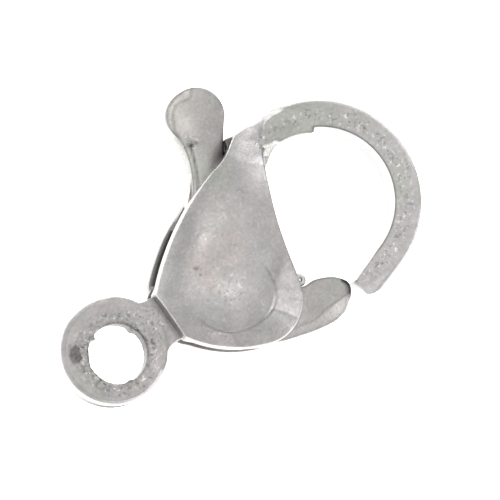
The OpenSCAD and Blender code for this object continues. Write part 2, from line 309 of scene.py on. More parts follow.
def cast_steel(name, base):
    """Tumbled cast stainless steel: a value on the mesh's points darkens and dulls it as grime and painted
    shade, and below 0 lightens it as a painted highlight
    """
    material, tree = new_material(name)
    place = add(tree, "ShaderNodeTexCoord").outputs["Object"]
    grime_and_painted_light = add(tree, "ShaderNodeAttribute", attribute_name="grime_and_painted_light").outputs["Fac"]
    grit = add(tree, "ShaderNodeAttribute", attribute_name="grit").outputs["Fac"]
    layers = {
        label: add(tree, NOISE, {
            "Vector": place, "Scale": 1 / (size * MM), "Detail": detail, "Roughness": rough})
        for label, (size, detail, rough) in STEEL_NOISE.items()}

    # faint green and warm tints, which the oxide leaves after casting
    tint = add(tree, "ShaderNodeValToRGB", {0: layers["tint"]})
    fill_ramp(tint, [
        (0.30, linear("#BBBCB7")), (0.46, linear(base)), (0.58, linear(base)), (0.74, linear("#C2BCBB"))])
    wide, narrow, worn = [
        add(tree, MAP, {0: layers[label], "From Min": 0.3, "From Max": 0.7, "To Min": low, "To Max": high})
        for label, low, high in [("blotch", 0.92, 1.08), ("grain", 0.90, 1.10), ("wear", 0.28, 0.42)]]
    # the point value scales the colour: grime and painted shade above 0, a painted highlight below 0
    grime_and_light_tone = add(tree, MAP, {0: grime_and_painted_light, "To Min": 1.0, "To Max": 0.12}, clamp=False)

    # pits are dark and deep, and sparks are small scraped spots
    pit_spots = add(tree, MAP, {0: layers["pit"], "From Min": 0.57, "From Max": 0.64})
    spark_spots = add(tree, MAP, {0: layers["spark"], "From Min": 0.41, "From Max": 0.31})
    pit = add(tree, MATH, {0: pit_spots, 1: grit}, operation="MULTIPLY")
    spark = add(tree, MATH, {0: spark_spots, 1: grit}, operation="MULTIPLY")
    lighter = add(tree, MATH, {0: spark, 1: 0.85}, operation="MULTIPLY")
    darker = add(tree, MATH, {0: pit, 1: 0.42}, operation="MULTIPLY")
    marks = add(tree, MATH, {0: lighter, 1: darker}, operation="SUBTRACT")

    shade = add(tree, MATH, {0: wide, 1: narrow}, operation="MULTIPLY")
    for factor in (grime_and_light_tone, add(tree, MATH, {0: marks, 1: 1.0}, operation="ADD")):
        shade = add(tree, MATH, {0: shade, 1: factor}, operation="MULTIPLY")
    colour = add(tree, "ShaderNodeVectorMath", {0: tint, "Scale": shade}, operation="SCALE")

    dulled = add(tree, MATH, {0: grime_and_painted_light, 1: 0.25}, operation="MULTIPLY")
    rough = add(tree, MATH, {0: worn, 1: dulled}, operation="ADD")
    relief = layers["grain"]
    for texture, depth in [(layers["speck"], 0.5), (pit, -2.5)]:
        step = add(tree, MATH, {0: texture, 1: depth}, operation="MULTIPLY")
        relief = add(tree, MATH, {0: relief, 1: step}, operation="ADD")
    bump = add(tree, "ShaderNodeBump", {"Strength": 0.8, "Distance": 0.005 * MM, "Height": relief})
    metal = add(tree, "ShaderNodeBsdfPrincipled", {
        "Metallic": 1.0, "Base Color": colour, "Roughness": rough, "Normal": bump})
    add(tree, "ShaderNodeOutputMaterial", {"Surface": metal})
    return material


# tumbled casting: a soft, slightly blurred mirror, mottled at the size of the ceramic shell's grains
casting_steel = cast_steel("tumbled cast stainless steel", "#BEBCBB")
# the lever is cast apart, and the eye sees it as a slightly warmer grey with the same soft shine
lever_steel = cast_steel("tumbled cast stainless steel lever", "#BDBAB8")
print("materials:", casting_steel.name, "and", lever_steel.name)

# %% [markdown]
# ## Drawn wire
# The rivet and the spring are cut from drawn wire. A drawing die leaves the metal brighter and smoother
# than a casting, with very fine lines. They are only a few micrometres apart, too fine for the render,
# so they are drawn as noise of 0.05 mm, the smallest size that still shows. An anisotropic shader would
# be another way, but the wire is only a few pixels wide here.

# %% Drawn steel material
def drawn_steel(name, base, rough):
    """Drawn stainless steel: a clear mirror, broken up a little by die lines"""
    material, tree = new_material(name)
    place = add(tree, "ShaderNodeTexCoord").outputs["Object"]
    lines = add(tree, NOISE, {"Vector": place, "Scale": 1 / (0.05 * MM), "Detail": 2.0, "Roughness": 0.5})
    worn = add(tree, MAP, {0: lines, "To Min": rough - 0.06, "To Max": rough + 0.06})
    bump = add(tree, "ShaderNodeBump", {"Strength": 0.4, "Distance": 0.002 * MM, "Height": lines})
    metal = add(tree, "ShaderNodeBsdfPrincipled", {
        "Metallic": 1.0, "Base Color": linear(base), "Roughness": worn, "Normal": bump})
    add(tree, "ShaderNodeOutputMaterial", {"Surface": metal})
    return material


# spring wire is drawn hard and bright, so its curl glints. The rivet's end is plainer and greyer.
wire_steel = drawn_steel("bright drawn spring steel", "#D4D3D0", 0.2)
rivet_steel = drawn_steel("plain drawn stainless steel", "#B4B3B0", 0.3)
print("materials:", wire_steel.name, "and", rivet_steel.name)

# %% [markdown]
# ## Outlines
# The casting's parts are plates with shaped faces, so each starts from a flat outline. It could be drawn
# as a free curve, but arcs are what a toolmaker would cut, and their corners can be named sizes. So an
# outline is a list of corners, each with the bulge of the arc that leaves it. The points are then spread
# evenly, and smoothed a little, because a casting has no razor-sharp corner.

# %% Outline helpers
def turn_bulge(angle):
    """Bulge of an arc that turns through an angle"""
    return math.tan(math.radians(angle / 4)) / 2


def arc(start, end, bulge, count=24):
    """Points from start up to end on an arc. A positive bulge swells to the right of the way."""
    start, end = np.array(start, float), np.array(end, float)
    if abs(bulge) < 0.001:
        return [start + (end - start) * i / count for i in range(count)]
    chord = np.linalg.norm(end - start)
    along = (end - start) / chord
    right = np.array([along[1], -along[0]])
    half = 2 * math.atan(2 * bulge)
    radius = chord / (2 * math.sin(half))
    middle = (start + end) / 2
    angles = [-half + 2 * half * i / count for i in range(count)]
    return [middle + along * radius * math.sin(a) + right * radius * (math.cos(a) - math.cos(half))
            for a in angles]


def outline(rows):
    """The points of a closed outline, from its corners and bulges"""
    points = []
    for i, (corner, bulge) in enumerate(rows):
        points += arc(corner, rows[(i + 1) % len(rows)][0], bulge)
    return np.array(points)


def even(points, spacing, closed=True):
    """The same line with points at even steps"""
    loop = np.vstack([points, points[:1]]) if closed else np.array(points, float)
    steps = np.linalg.norm(np.diff(loop, axis=0), axis=1)
    run = np.concatenate([[0], np.cumsum(steps)])
    count = max(8, int(round(run[-1] / spacing)))
    stops = np.linspace(0, run[-1], count + (0 if closed else 1), endpoint=not closed)
    return np.column_stack([np.interp(stops, run, loop[:, i]) for i in range(loop.shape[1])])


def softened(points, rounds):
    """Corners rounded by a few rounds of averaging, on a closed line"""
    for _ in range(rounds):
        points = (np.roll(points, 1, axis=0) + 2 * points + np.roll(points, -1, axis=0)) / 4
    return points


def inward(points):
    """Unit steps into a closed outline that runs anticlockwise"""
    way = np.roll(points, -1, axis=0) - np.roll(points, 1, axis=0)
    way /= np.linalg.norm(way, axis=1)[:, None]
    return np.column_stack([-way[:, 1], way[:, 0]])


print("a half circle has a bulge of", round(turn_bulge(180), 3))

# %% [markdown]
# ## Inside and near
# Many rules below ask whether a point lies inside an outline, and how far it is from a line. A ray to one
# side crosses a closed outline an odd number of times if it starts inside. Blender can look up the
# nearest point of a mesh, but here the lines are plain lists, and all points are asked at once.

# %% Inside a ring and distance to a line
def inside(points, ring):
    """Which points lie inside a closed ring"""
    x, y = points[:, 0], points[:, 1]
    result = np.zeros(len(points), bool)
    for (x1, y1), (x2, y2) in zip(ring, np.roll(ring, -1, axis=0)):
        crosses = (y1 > y) != (y2 > y)
        result ^= crosses & (x < (x2 - x1) * (y - y1) / (y2 - y1 + 1e-12) + x1)
    return result


def distance(points, line, closed=True):
    """Shortest distance from each point to a line"""
    ends = np.roll(line, -1, axis=0) if closed else line[1:]
    best = np.full(len(points), 1e9)
    for a, b in zip(line, ends):
        step = b - a
        share = np.clip(((points - a) @ step) / (step @ step + 1e-12), 0, 1)
        gap = points - (a + share[:, None] * step)
        best = np.minimum(best, np.hypot(gap[:, 0], gap[:, 1]))
    return best


print("the middle of a square is inside it:", inside(np.zeros((1, 2)), outline([
    ((-1, -1), 0), ((1, -1), 0), ((1, 1), 0), ((-1, 1), 0)]))[0])

# %% [markdown]
# ## Filling a face with points
# The cheeks' faces are domed and creased, so they need points all over that a height rule can lift. A
# subdivided grid would be quicker, but its squares would cut across rims and creases. Here a constrained
# triangulation joins rows of points along the rim and beside each crease with an even grid between them,
# so every edge stays clean.

# %% Filling a rim
# rows of points beside a crease, as distances from it in mm
CREASE_ROWS = (-0.11, -0.065, -0.03, 0, 0.03, 0.065, 0.11)


def filled(rim, spacing, insets, creases=()):
    """Points and triangles that fill a closed rim: rows along it and its creases, then an even grid"""
    rows = [rim]
    for inset in insets:
        row = rim + inset * inward(rim)
        rows.append(row[inside(row, rim) & (distance(row, rim) > 0.93 * inset)])
    low, high = rim.min(0), rim.max(0)
    grid = []
    for i, y in enumerate(np.arange(low[1], high[1], spacing * 0.866)):
        xs = np.arange(low[0] + (i % 2) * spacing / 2, high[0], spacing)
        grid.append(np.column_stack([xs, np.full(len(xs), y)]))
    grid = np.vstack(grid)
    reach = (insets[-1] if insets else 0) + 0.5 * spacing
    keep = inside(grid, rim) & (distance(grid, rim) > reach)
    for line in creases:
        fine = even(line, 0.6 * spacing, closed=False)
        way = np.gradient(fine, axis=0)
        way /= np.linalg.norm(way, axis=1)[:, None]
        across = np.column_stack([-way[:, 1], way[:, 0]])
        for offset in CREASE_ROWS:
            row = fine + offset * across
            clear = inside(row, rim) & (distance(row, rim) > reach)
            rows.append(row[clear & (distance(row, fine, closed=False) > 0.9 * abs(offset))])
        keep &= distance(grid, fine, closed=False) > CREASE_ROWS[-1] + 0.4 * spacing
    rows.append(grid[keep])
    spots = np.vstack(rows)
    edges = [(i, (i + 1) % len(rim)) for i in range(len(rim))]
    verts, _, faces, sources, *_ = delaunay_2d_cdt([Vector(p) for p in spots], edges, [], 1, 1e-7)
    place = {out: source[0] for out, source in enumerate(sources) if source}
    extra = [out for out in range(len(verts)) if out not in place]
    for out in extra:
        place[out] = len(spots) + extra.index(out)
    spots = np.vstack([spots] + [[verts[out].x, verts[out].y] for out in extra])
    cells = []
    for face in faces:
        a, b, c = (spots[place[i]] for i in face)
        area = (b[0] - a[0]) * (c[1] - a[1]) - (b[1] - a[1]) * (c[0] - a[0])
        cell = [place[i] for i in face]
        cells.append(cell if area > 0 else cell[::-1])
    return spots, cells


print("each crease gets", len(CREASE_ROWS), "rows of points")

# %% [markdown]
# ## Shaped plates
# A plate is built from rings of points: the outline at several heights and insets, which gives the side
# wall its draft and the rim its rounding. An extruded outline with a bevel would have a straight wall and
# a flat face. Here both faces may follow a height rule, so the whole plate is real geometry.

# %% The plate builder
def raised(spots, rule, gap):
    """Adds the height to flat points: a number, or a rule of the points and their gap to the rim"""
    heights = rule(spots, gap) if callable(rule) else np.full(len(spots), float(rule))
    return np.column_stack([spots, heights])


def make_object(name, points, faces, material):
    """An object from points in mm"""
    mesh = bpy.data.meshes.new(name)
    mesh.from_pydata([tuple(p) for p in np.asarray(points, float) * MM], [], faces)
    mesh.update()
    mesh.materials.append(material)
    piece = bpy.data.objects.new(name, mesh)
    scene.collection.objects.link(piece)
    uses = {}
    for face in faces:
        for a, b in zip(face, face[1:] + face[:1]):
            key = (min(a, b), max(a, b))
            uses[key] = uses.get(key, 0) + 1
    print(f"  {name}: {len(faces)} faces, {sum(1 for n in uses.values() if n != 2)} open edges")
    return piece


def plate(name, rim, walls, bottom, top, material, spacing=0.07, insets=(0.015, 0.04, 0.08), creases=()):
    """A closed plate over a rim. walls are rings between its faces, as (outset, height)."""
    none = np.zeros(len(rim))
    rings = [raised(rim - np.multiply(outset, inward(rim).T).T, level, none) for outset, level in walls]
    spots, cells = filled(rim, spacing, insets, creases)
    under_spots, under_cells = (spots, cells) if callable(bottom) else filled(rim, 1.0, ())
    gap, under_gap = distance(spots, rim), distance(under_spots, rim)
    gap[:len(rim)] = 0
    under = raised(under_spots, bottom, under_gap)
    under[:len(rim)] = rings[0]
    points = np.vstack([under, *rings[1:], raised(spots, top, gap)])
    n, count = len(under), len(rim)
    starts = [0] + [n + k * count for k in range(len(rings))]
    faces = [cell[::-1] for cell in under_cells]
    for low, high in zip(starts, starts[1:]):
        for i in range(count):
            j = (i + 1) % count
            faces.append([low + i, low + j, high + j, high + i])
    faces += [[starts[-1] + i for i in cell] for cell in cells]
    return make_object(name, points, faces, material)


def turn_over(piece):
    """Turns a piece over to the back, z to -z, and its faces round to point outwards again"""
    for vertex in piece.data.vertices:
        vertex.co.z = -vertex.co.z
    piece.data.flip_normals()
    return piece


print("the plate builder is ready")

# %% [markdown]
# ## Rules that move points
# A casting is never quite flat or round. Its lumps, dents and worn places are given by rules of a point's
# place, in millimetres. They could be sculpted by hand, but a rule can be read, changed and run again.

# %% Helpers for rules
def smooth_step(value, low, high):
    """0 at low, 1 at high, with a soft start and end"""
    share = np.clip((value - low) / (high - low), 0, 1)
    return share * share * (3 - 2 * share)


def around(angle, centre, width):
    """1 at an angle, falling away smoothly over a width in degrees"""
    off = (angle - centre + 180) % 360 - 180
    return np.exp(-(off / width) ** 2)


def bump_shape(points, centre, size, turn=0.0):
    """A smooth round or oval hill of height 1"""
    rel = points[:, :2] - np.array(centre)
    c, s = math.cos(math.radians(turn)), math.sin(math.radians(turn))
    u = (rel[:, 0] * c + rel[:, 1] * s) / size[0]
    v = (-rel[:, 0] * s + rel[:, 1] * c) / size[1]
    return np.exp(-(u * u + v * v))


def lumps(points, size, seed, octaves=3):
    """Smooth random relief between about -1 and 1, in mm space"""
    shift = Vector((seed * 7.3, seed * 3.1, seed * 5.7))
    return np.array([noise.fractal(Vector(p) / size + shift, 0.9, 2.0, octaves) for p in points])


def on_plane(points):
    """Flat points with a height of 0, as the noise needs them"""
    return np.column_stack([points, np.zeros(len(points))])


def line_mark(points, line, width):
    """1 on an open line, fading away sideways"""
    return np.exp(-(distance(points, line, closed=False) / width) ** 2)


def points_of(mesh):
    """A mesh's points in mm"""
    flat = np.empty(len(mesh.vertices) * 3)
    mesh.vertices.foreach_get("co", flat)
    return flat.reshape(-1, 3) / MM


def reshape(piece, rule):
    """Moves a piece's points: rule takes and gives points in mm"""
    piece.data.vertices.foreach_set("co", (rule(points_of(piece.data)) * MM).ravel())
    piece.data.update()


print("a soft step halfway up is", smooth_step(0.5, 0, 1))

# %% [markdown]
# ## Small node trees
# The hook, the ring and the spring each follow a path, and the cast skin follows a noise. Lists of points
# would do, as for the plates. But a Geometry Nodes tree can be opened and its sizes turned while the
# shape follows, so three trees make them. The helpers below give a tree its inputs and its ending.

# %% Helpers for geometry trees
def sizes_tree(name, sizes):
    """An empty geometry tree with named size inputs, a material input and a geometry in and out"""
    tree = bpy.data.node_groups.new(name, "GeometryNodeTree")
    tree.interface.new_socket("Geometry", in_out="INPUT", socket_type="NodeSocketGeometry")
    for label, value in sizes.items():
        kind = "NodeSocketInt" if isinstance(value, int) else "NodeSocketFloat"
        tree.interface.new_socket(label, in_out="INPUT", socket_type=kind).default_value = value
    tree.interface.new_socket("Material", in_out="INPUT", socket_type="NodeSocketMaterial")
    tree.interface.new_socket("Geometry", in_out="OUTPUT", socket_type="NodeSocketGeometry")
    return tree, add(tree, "NodeGroupInput").outputs


def end_tree(tree, size, geometry):
    """Realize Instances and Set Material close every tree"""
    real = add(tree, "GeometryNodeRealizeInstances", {0: geometry})
    done = add(tree, "GeometryNodeSetMaterial", {"Geometry": real, "Material": size["Material"]})
    add(tree, "NodeGroupOutput", {0: done})


def run_tree(piece, tree, sizes, material):
    """Runs a tree on a piece and keeps the result as a plain mesh"""
    modifier = piece.modifiers.new(tree.name, "NODES")
    modifier.node_group = tree
    sockets = {s.name: s.identifier for s in tree.interface.items_tree if s.in_out == "INPUT"}
    for label, value in sizes.items():
        modifier[sockets[label]] = value
    modifier[sockets["Material"]] = material
    ready = piece.evaluated_get(bpy.context.evaluated_depsgraph_get())
    mesh = bpy.data.meshes.new_from_object(ready)
    piece.modifiers.remove(modifier)
    piece.data = mesh
    print(f"  {piece.name}: {len(mesh.polygons)} faces from the tree {tree.name}")


def path_object(name, points, closed=False):
    """A path as a mesh of points and edges, in mm"""
    mesh = bpy.data.meshes.new(name)
    edges = [(i, i + 1) for i in range(len(points) - 1)]
    if closed:
        edges.append((len(points) - 1, 0))
    flat = [(*(np.array(p) * MM), 0) if len(p) == 2 else tuple(np.array(p) * MM) for p in points]
    mesh.from_pydata(flat, edges, [])
    piece = bpy.data.objects.new(name, mesh)
    scene.collection.objects.link(piece)
    return piece


print("helpers for trees are ready")

# %% [markdown]
# ## The hook as a swept band
# The hook is a flat-faced band that bends round three quarters of a circle and ends in a short straight
# tip. It could be a plate like the cheeks, but its outer wall bulges at mid thickness, and a plate's walls
# can't do that well. Swept along a path, one section gives every wall. The section is a rectangle with
# small chamfers, whose outer side swells.

# %% Node tree that sweeps a band
# how steep the chamfers are, and how far the outer wall leans back at the faces, as a share of the swell
CORNER_FALL = 0.47
WALL_LEAN = -0.12
band_tree, size = sizes_tree("swept band", {
    "Width": 1.0, "Thickness": 1.0, "Swell": 0.1, "Outer Drop": 0.05, "Chamfer": 0.05, "Point Spacing": 0.06})
full_width = add(band_tree, MATH, {0: size["Width"], 1: size["Swell"]}, operation="ADD")
box_curve = add(band_tree, "GeometryNodeCurvePrimitiveQuadrilateral", {
    "Width": full_width, "Height": size["Thickness"]})
spaced = add(band_tree, "GeometryNodeResampleCurve", {"Curve": box_curve, "Length": size["Point Spacing"]},
             mode="LENGTH")
spot = add(band_tree, "ShaderNodeSeparateXYZ", {0: add(band_tree, "GeometryNodeInputPosition")}).outputs

# how far a point is from both edges, and how far out in the swell, from 0 to 1
half_width = add(band_tree, MATH, {0: full_width, 1: 0.5}, operation="MULTIPLY")
from_inner = add(band_tree, MATH, {0: half_width, 1: spot["X"]}, operation="ADD")
from_outer = add(band_tree, MATH, {0: half_width, 1: spot["X"]}, operation="SUBTRACT")
off_swell = add(band_tree, MATH, {0: from_outer, 1: size["Swell"]}, operation="DIVIDE")
past_swell = add(band_tree, MATH, {0: 1.0, 1: off_swell}, operation="SUBTRACT")
in_swell = add(band_tree, MATH, {0: past_swell, 1: 0.0}, operation="MAXIMUM")

# the faces fall towards the outer wall and at both corners
swell_squared = add(band_tree, MATH, {0: in_swell, 1: in_swell}, operation="MULTIPLY")
fall = add(band_tree, MATH, {0: swell_squared, 1: size["Outer Drop"]}, operation="MULTIPLY")
for gap in (from_inner, from_outer):
    past_edge = add(band_tree, MATH, {0: size["Chamfer"], 1: gap}, operation="SUBTRACT")
    cut = add(band_tree, MATH, {0: past_edge, 1: 0.0}, operation="MAXIMUM")
    corner = add(band_tree, MATH, {0: cut, 1: CORNER_FALL}, operation="MULTIPLY")
    fall = add(band_tree, MATH, {0: fall, 1: corner}, operation="ADD")

# the outer wall leans in towards both faces
half_height = add(band_tree, MATH, {0: size["Thickness"], 1: 0.5}, operation="MULTIPLY")
share = add(band_tree, MATH, {0: spot["Y"], 1: half_height}, operation="DIVIDE")
share_squared = add(band_tree, MATH, {0: share, 1: share}, operation="MULTIPLY")
half_swell = add(band_tree, MATH, {0: size["Swell"], 1: 0.5}, operation="MULTIPLY")
lean = add(band_tree, MATH, {0: share_squared, 1: WALL_LEAN}, operation="MULTIPLY")
for factor in (in_swell, size["Swell"]):
    lean = add(band_tree, MATH, {0: lean, 1: factor}, operation="MULTIPLY")
sideways = add(band_tree, MATH, {0: half_swell, 1: lean}, operation="ADD")
shared_fall = add(band_tree, MATH, {0: share, 1: fall}, operation="MULTIPLY")
downwards = add(band_tree, MATH, {0: shared_fall, 1: -1.0}, operation="MULTIPLY")
shift = add(band_tree, "ShaderNodeCombineXYZ", {"X": sideways, "Y": downwards})
swollen = add(band_tree, "GeometryNodeSetPosition", {"Geometry": spaced, "Offset": shift})

path = add(band_tree, "GeometryNodeMeshToCurve", {0: size["Geometry"]})
level_path = add(band_tree, "GeometryNodeSetCurveNormal", {0: path}, mode="Z_UP")
swept = add(band_tree, "GeometryNodeCurveToMesh", {
    "Curve": level_path, "Profile Curve": swollen, "Fill Caps": True})
end_tree(band_tree, size, swept)
print("the tree", band_tree.name, "has", len(band_tree.nodes), "nodes")

# %% [markdown]
# ## The hook's path
# The hook catches the ring at the chain's other end. A part of a torus could give its bend, but not its
# straight tip. So the path is an arc round the hook's middle with a short straight piece, in steps small
# enough to look round. It runs from the tip to the root, which puts the swelling on the outside.

# %% The hook
band_mid = (HOOK_IN_R + HOOK_FACE_R) / 2
tip_way = polar(1, TIP_A - 90)
bend = [HOOK_C + polar(band_mid, a) for a in np.arange(ROOT_A, TIP_A, -1.0)]
straight = [HOOK_C + polar(band_mid, TIP_A) + tip_way * s for s in np.arange(0, TIP_L + 0.001, 0.06)]
hook = path_object("hook_band", (bend + straight)[::-1])
run_tree(hook, band_tree, {
    "Width": (HOOK_FACE_R - HOOK_IN_R) * MM, "Thickness": 2 * HOOK_HALF * MM, "Swell": HOOK_SWELL * MM,
    "Outer Drop": 0.085 * MM, "Chamfer": 0.06 * MM, "Point Spacing": 0.03 * MM}, casting_steel)

# %% [markdown]
# ## The tail ring
# The tail ring takes the jump ring that joins the clasp to a chain. It could be a torus, but the real one
# has flat faces. So it is the same band as the hook, bent into a full circle. Its eye lies a little off
# its middle, so the inner wall is slid sideways, and its edge is nibbled where the casting's sprue and
# flash were broken off.

# %% The ring, its eye and its flaws
ring_mid = (EYE_R + RING_R) / 2
circle_path = [RING_C + polar(ring_mid, a) for a in np.arange(0, 360, 1.5)]
ring = path_object("tail_ring", circle_path, closed=True)
run_tree(ring, band_tree, {
    "Width": (RING_R - EYE_R) * MM, "Thickness": 2 * RING_HALF * MM, "Swell": 0.0,
    "Outer Drop": 0.0, "Chamfer": 0.055 * MM, "Point Spacing": 0.035 * MM}, casting_steel)


def ring_shape(points):
    """Slides the eye to its place, and gives the ring its burrs, its dent and its crust"""
    points = points.copy()
    rel = points[:, :2] - RING_C
    radius = np.hypot(rel[:, 0], rel[:, 1])
    inner = np.clip((RING_R - radius) / (RING_R - EYE_R), 0, 1)
    points[:, :2] -= np.outer(inner, RING_C)
    angle = np.degrees(np.arctan2(points[:, 1], points[:, 0]))
    front = smooth_step(points[:, 2], -0.2, 0.5)
    wall = smooth_step(inner, 0.8, 1.0)
    # a tooth, a ragged lip above it and two burrs stand into the eye
    push = 0.13 * around(angle, 114, 4.5) * front + 0.03 * around(angle, 150, 18) * front
    push += 0.06 * around(angle, -103, 6) * front + 0.09 * around(angle, 22, 7) * (1 - front)
    push += 0.022 * lumps(points * [1, 1, 0.4], 0.2, 3) * (0.4 + 0.6 * around(angle, 150, 70))
    length = np.hypot(points[:, 0], points[:, 1])
    points[:, :2] -= points[:, :2] / length[:, None] * (wall * np.maximum(push, -0.02))[:, None]
    # the face sinks to its outer edge, has a shallow step beside the eye and is crusty there
    face = np.sign(points[:, 2]) * smooth_step(np.abs(points[:, 2]), 0.3, 0.6)
    free = 1 - smooth_step(np.cos(np.radians(angle - 3)), 0.42, 0.64)
    sink = 0.62 * free * np.clip(radius - RING_R + 0.2, 0, 0.2) + 0.03 * smooth_step(inner, 0.82, 1.0)
    sink += 0.09 * front * bump_shape(points, (-1.34, 0.89), (0.16, 0.30), -36) ** 2
    sink += 0.012 * (1 + lumps(points * [1, 1, 0], 0.9, 5))
    sink += 0.025 * smooth_step(inner, 0.45, 0.75) * (1 + lumps(points, 0.13, 9, 4))
    sink -= 0.02 * around(angle, -58, 12) * np.exp(-((inner - 0.55) / 0.2) ** 2)
    points[:, 2] -= face * np.maximum(sink, 0)
    return points


reshape(ring, ring_shape)

# %% [markdown]
# ## The cheeks
# Each cheek is a domed plate over the slot that the lever works in. Round its belly lie facets, and over
# the rivet a low round boss, with creases between them. The creases could be bevels on a coarse mesh, but
# they die out along their length, as no bevel does. So they are lines in millimetres, which the height
# rule and the soot both read.

# %% The cheek's features
CROWN_C = BELLY_C + np.array([-0.7, 0.65])
FLANK_C = BELLY_C + np.array([0.9, 2.2])
BOSS_C = np.array([4.55, -0.48])
BOSS_R = 1.58
BELLY_CREASE = np.array([
    [6.09, -0.40], [6.06, -0.82], [5.95, -1.37], [5.78, -1.69], [5.41, -1.96], [5.04, -2.06], [4.58, -2.06],
    [4.16, -2.00], [3.81, -1.87], [3.52, -1.66], [3.27, -1.37], [3.08, -1.01], [2.94, -0.58]])
FACET_TOP = np.array([[5.60, -1.28], [6.54, -1.90], [6.80, -2.07]])
FACET_EDGE = np.array([[5.24, -1.82], [5.60, -2.19], [6.02, -2.68]])
SMALL_EDGE = np.array([[3.50, -1.66], [3.66, -1.86], [3.64, -2.12], [3.50, -2.42]])
HOOK_FACE_EDGE = np.array([
    [8.42, 1.60], [8.48, 2.30], [8.52, 2.77], [8.62, 3.05], [8.70, 3.25], [9.06, 3.51], [9.39, 3.66],
    [9.67, 3.68], [10.05, 3.62], [10.27, 3.57], [10.75, 3.45]])
# small pits, as (middle, size, depth)
PITS = [
    ((3.97, 0.84), 0.06, 0.7), ((3.90, 0.90), 0.04, 0.5), ((3.95, 0.56), 0.035, 0.7),
    ((4.06, 0.72), 0.03, 0.3), ((3.62, -0.35), 0.04, 0.35), ((3.45, -0.62), 0.03, 0.3),
    ((5.35, 2.42), 0.03, 0.3), ((6.35, 1.90), 0.03, 0.3), ((5.95, 1.35), 0.03, 0.25),
    ((4.1, -1.2), 0.03, 0.2)]
# low hills and hollows of the crown, as (height, middle, size, turn)
CROWN_HILLS = [
    (0.045, (4.72, 1.48), (0.60, 0.42), 25), (0.040, (4.45, -0.50), (0.50, 0.45), 0),
    (0.030, (5.20, -1.12), (0.55, 0.36), -35), (-0.035, (4.70, 0.45), (1.0, 0.26), 5),
    (-0.030, (3.75, 0.40), (0.45, 0.6), 0)]
print(len(PITS), "pits and", len(CROWN_HILLS), "hills and hollows on the crown")

# %% [markdown]
# ## The crown's height
# The crown is domed so that no edge catches on skin or cloth. A scaled sphere would be round all over,
# while the real crown has a ridge. So it is a barrel along a slanting ridge, and a flatter ball trims it
# towards the neck.

# %% The crown's rule
RIDGE_TURN = 49
BARREL_TOP = 1.86
BARREL_R = 5
RIDGE_R = 22
BALL_TOP = 2.06
BALL_R = 9.6


def soft_min(a, b, blend):
    """The lower of two heights, with a fillet where they meet"""
    share = np.clip(0.5 + 0.5 * (b - a) / blend, 0, 1)
    return b * (1 - share) + a * share - blend * share * (1 - share)


def side_distance(points, line):
    """Distance to a line, positive on its left"""
    best = np.full(len(points), 1e9)
    sign = np.ones(len(points))
    for a, b in zip(line, line[1:]):
        step = b - a
        rel = points - a
        share = np.clip((rel @ step) / (step @ step), 0, 1)
        gap = rel - share[:, None] * step
        length = np.hypot(gap[:, 0], gap[:, 1])
        nearer = length < best
        best = np.where(nearer, length, best)
        sign = np.where(nearer, np.sign(step[0] * rel[:, 1] - step[1] * rel[:, 0]), sign)
    return best * sign


def barrel_and_ball(points):
    """The crown before filing, cut off just below the frame's top"""
    rel = points - CROWN_C
    along = rel @ polar(1, RIDGE_TURN)
    across = rel @ polar(1, RIDGE_TURN + 90)
    barrel = BARREL_TOP - (BARREL_R - np.sqrt(BARREL_R ** 2 - across ** 2))
    barrel -= RIDGE_R - np.sqrt(RIDGE_R ** 2 - along ** 2)
    gap = points - FLANK_C
    ball = BALL_TOP - (BALL_R - np.sqrt(BALL_R ** 2 - (gap ** 2).sum(1)))
    return soft_min(soft_min(barrel, ball, 0.12), np.full(len(points), CROWN_TOP - 0.01), 0.30)


print("a fillet of 0.3 between two equal heights takes off", -soft_min(0, 0, 0.3), "mm")

# %% [markdown]
# ## The facets and the shoulder
# Facets lie round the belly, and the crown falls to the hook's flat face at the shoulder. Boolean
# cuts with planes would give the facets, but each turns softly into the next. So a cone round the boss,
# whose slope changes with the bearing, limits the height there, and a slope beside a line the shoulder.

# %% The facets and the shoulder
# how steeply the cone falls, by the bearing round the boss
FACET_TURNS = [-170, -122, -110, -66, -56, -42, -10]
FACET_SLOPES = [0.30, 0.36, 0.47, 0.47, 0.54, 0.54, 0.40]


def dome(points):
    """The crown, with the belly's facets and the shoulder that falls to the hook's flat face"""
    rel = points - BOSS_C
    reach = np.hypot(rel[:, 0], rel[:, 1])
    turn = np.degrees(np.arctan2(rel[:, 1], rel[:, 0]))
    rim_spots = BOSS_C + BOSS_R * rel / reach[:, None]
    slope = np.interp(turn, FACET_TURNS, FACET_SLOPES)
    cone = barrel_and_ball(rim_spots) - slope * (reach - BOSS_R)
    lower = smooth_step(turn, -172, -150) * smooth_step(turn, -4, -38) * (reach > BOSS_R)
    z = barrel_and_ball(points)
    z -= lower * np.maximum(z - cone, 0)
    shoulder = 0.95 + 0.42 * side_distance(points, HOOK_FACE_EDGE)
    high = smooth_step(points[:, 1], 1.4, 2.8)
    return high * soft_min(z, shoulder, 0.15) + (1 - high) * z


print("the crown stands", round(float(dome(CROWN_C[None])[0]), 3), "mm above the middle")

# %% [markdown]
# ## The cheek's outline and relief
# Seen from above, the cheek's rim follows the belly, the hook's shoulder and the notch for the thumb pad.
# Wear and casting left more than a clean dome: worn rims, grooves, plateaus and pits. They could all go
# into one noise, but then none would lie where the photograph has it. So each is added at its own place,
# and only the faint waves between them are noise.

# %% The cheek's outline and relief
def groove(points, line, width):
    """1 on a line, fading sideways and towards both its ends"""
    off = distance(points, line, closed=False)
    ends = np.minimum(np.hypot(*(points - line[0]).T), np.hypot(*(points - line[-1]).T))
    return np.exp(-(off / width) ** 2) * smooth_step(ends, 0, 0.35)


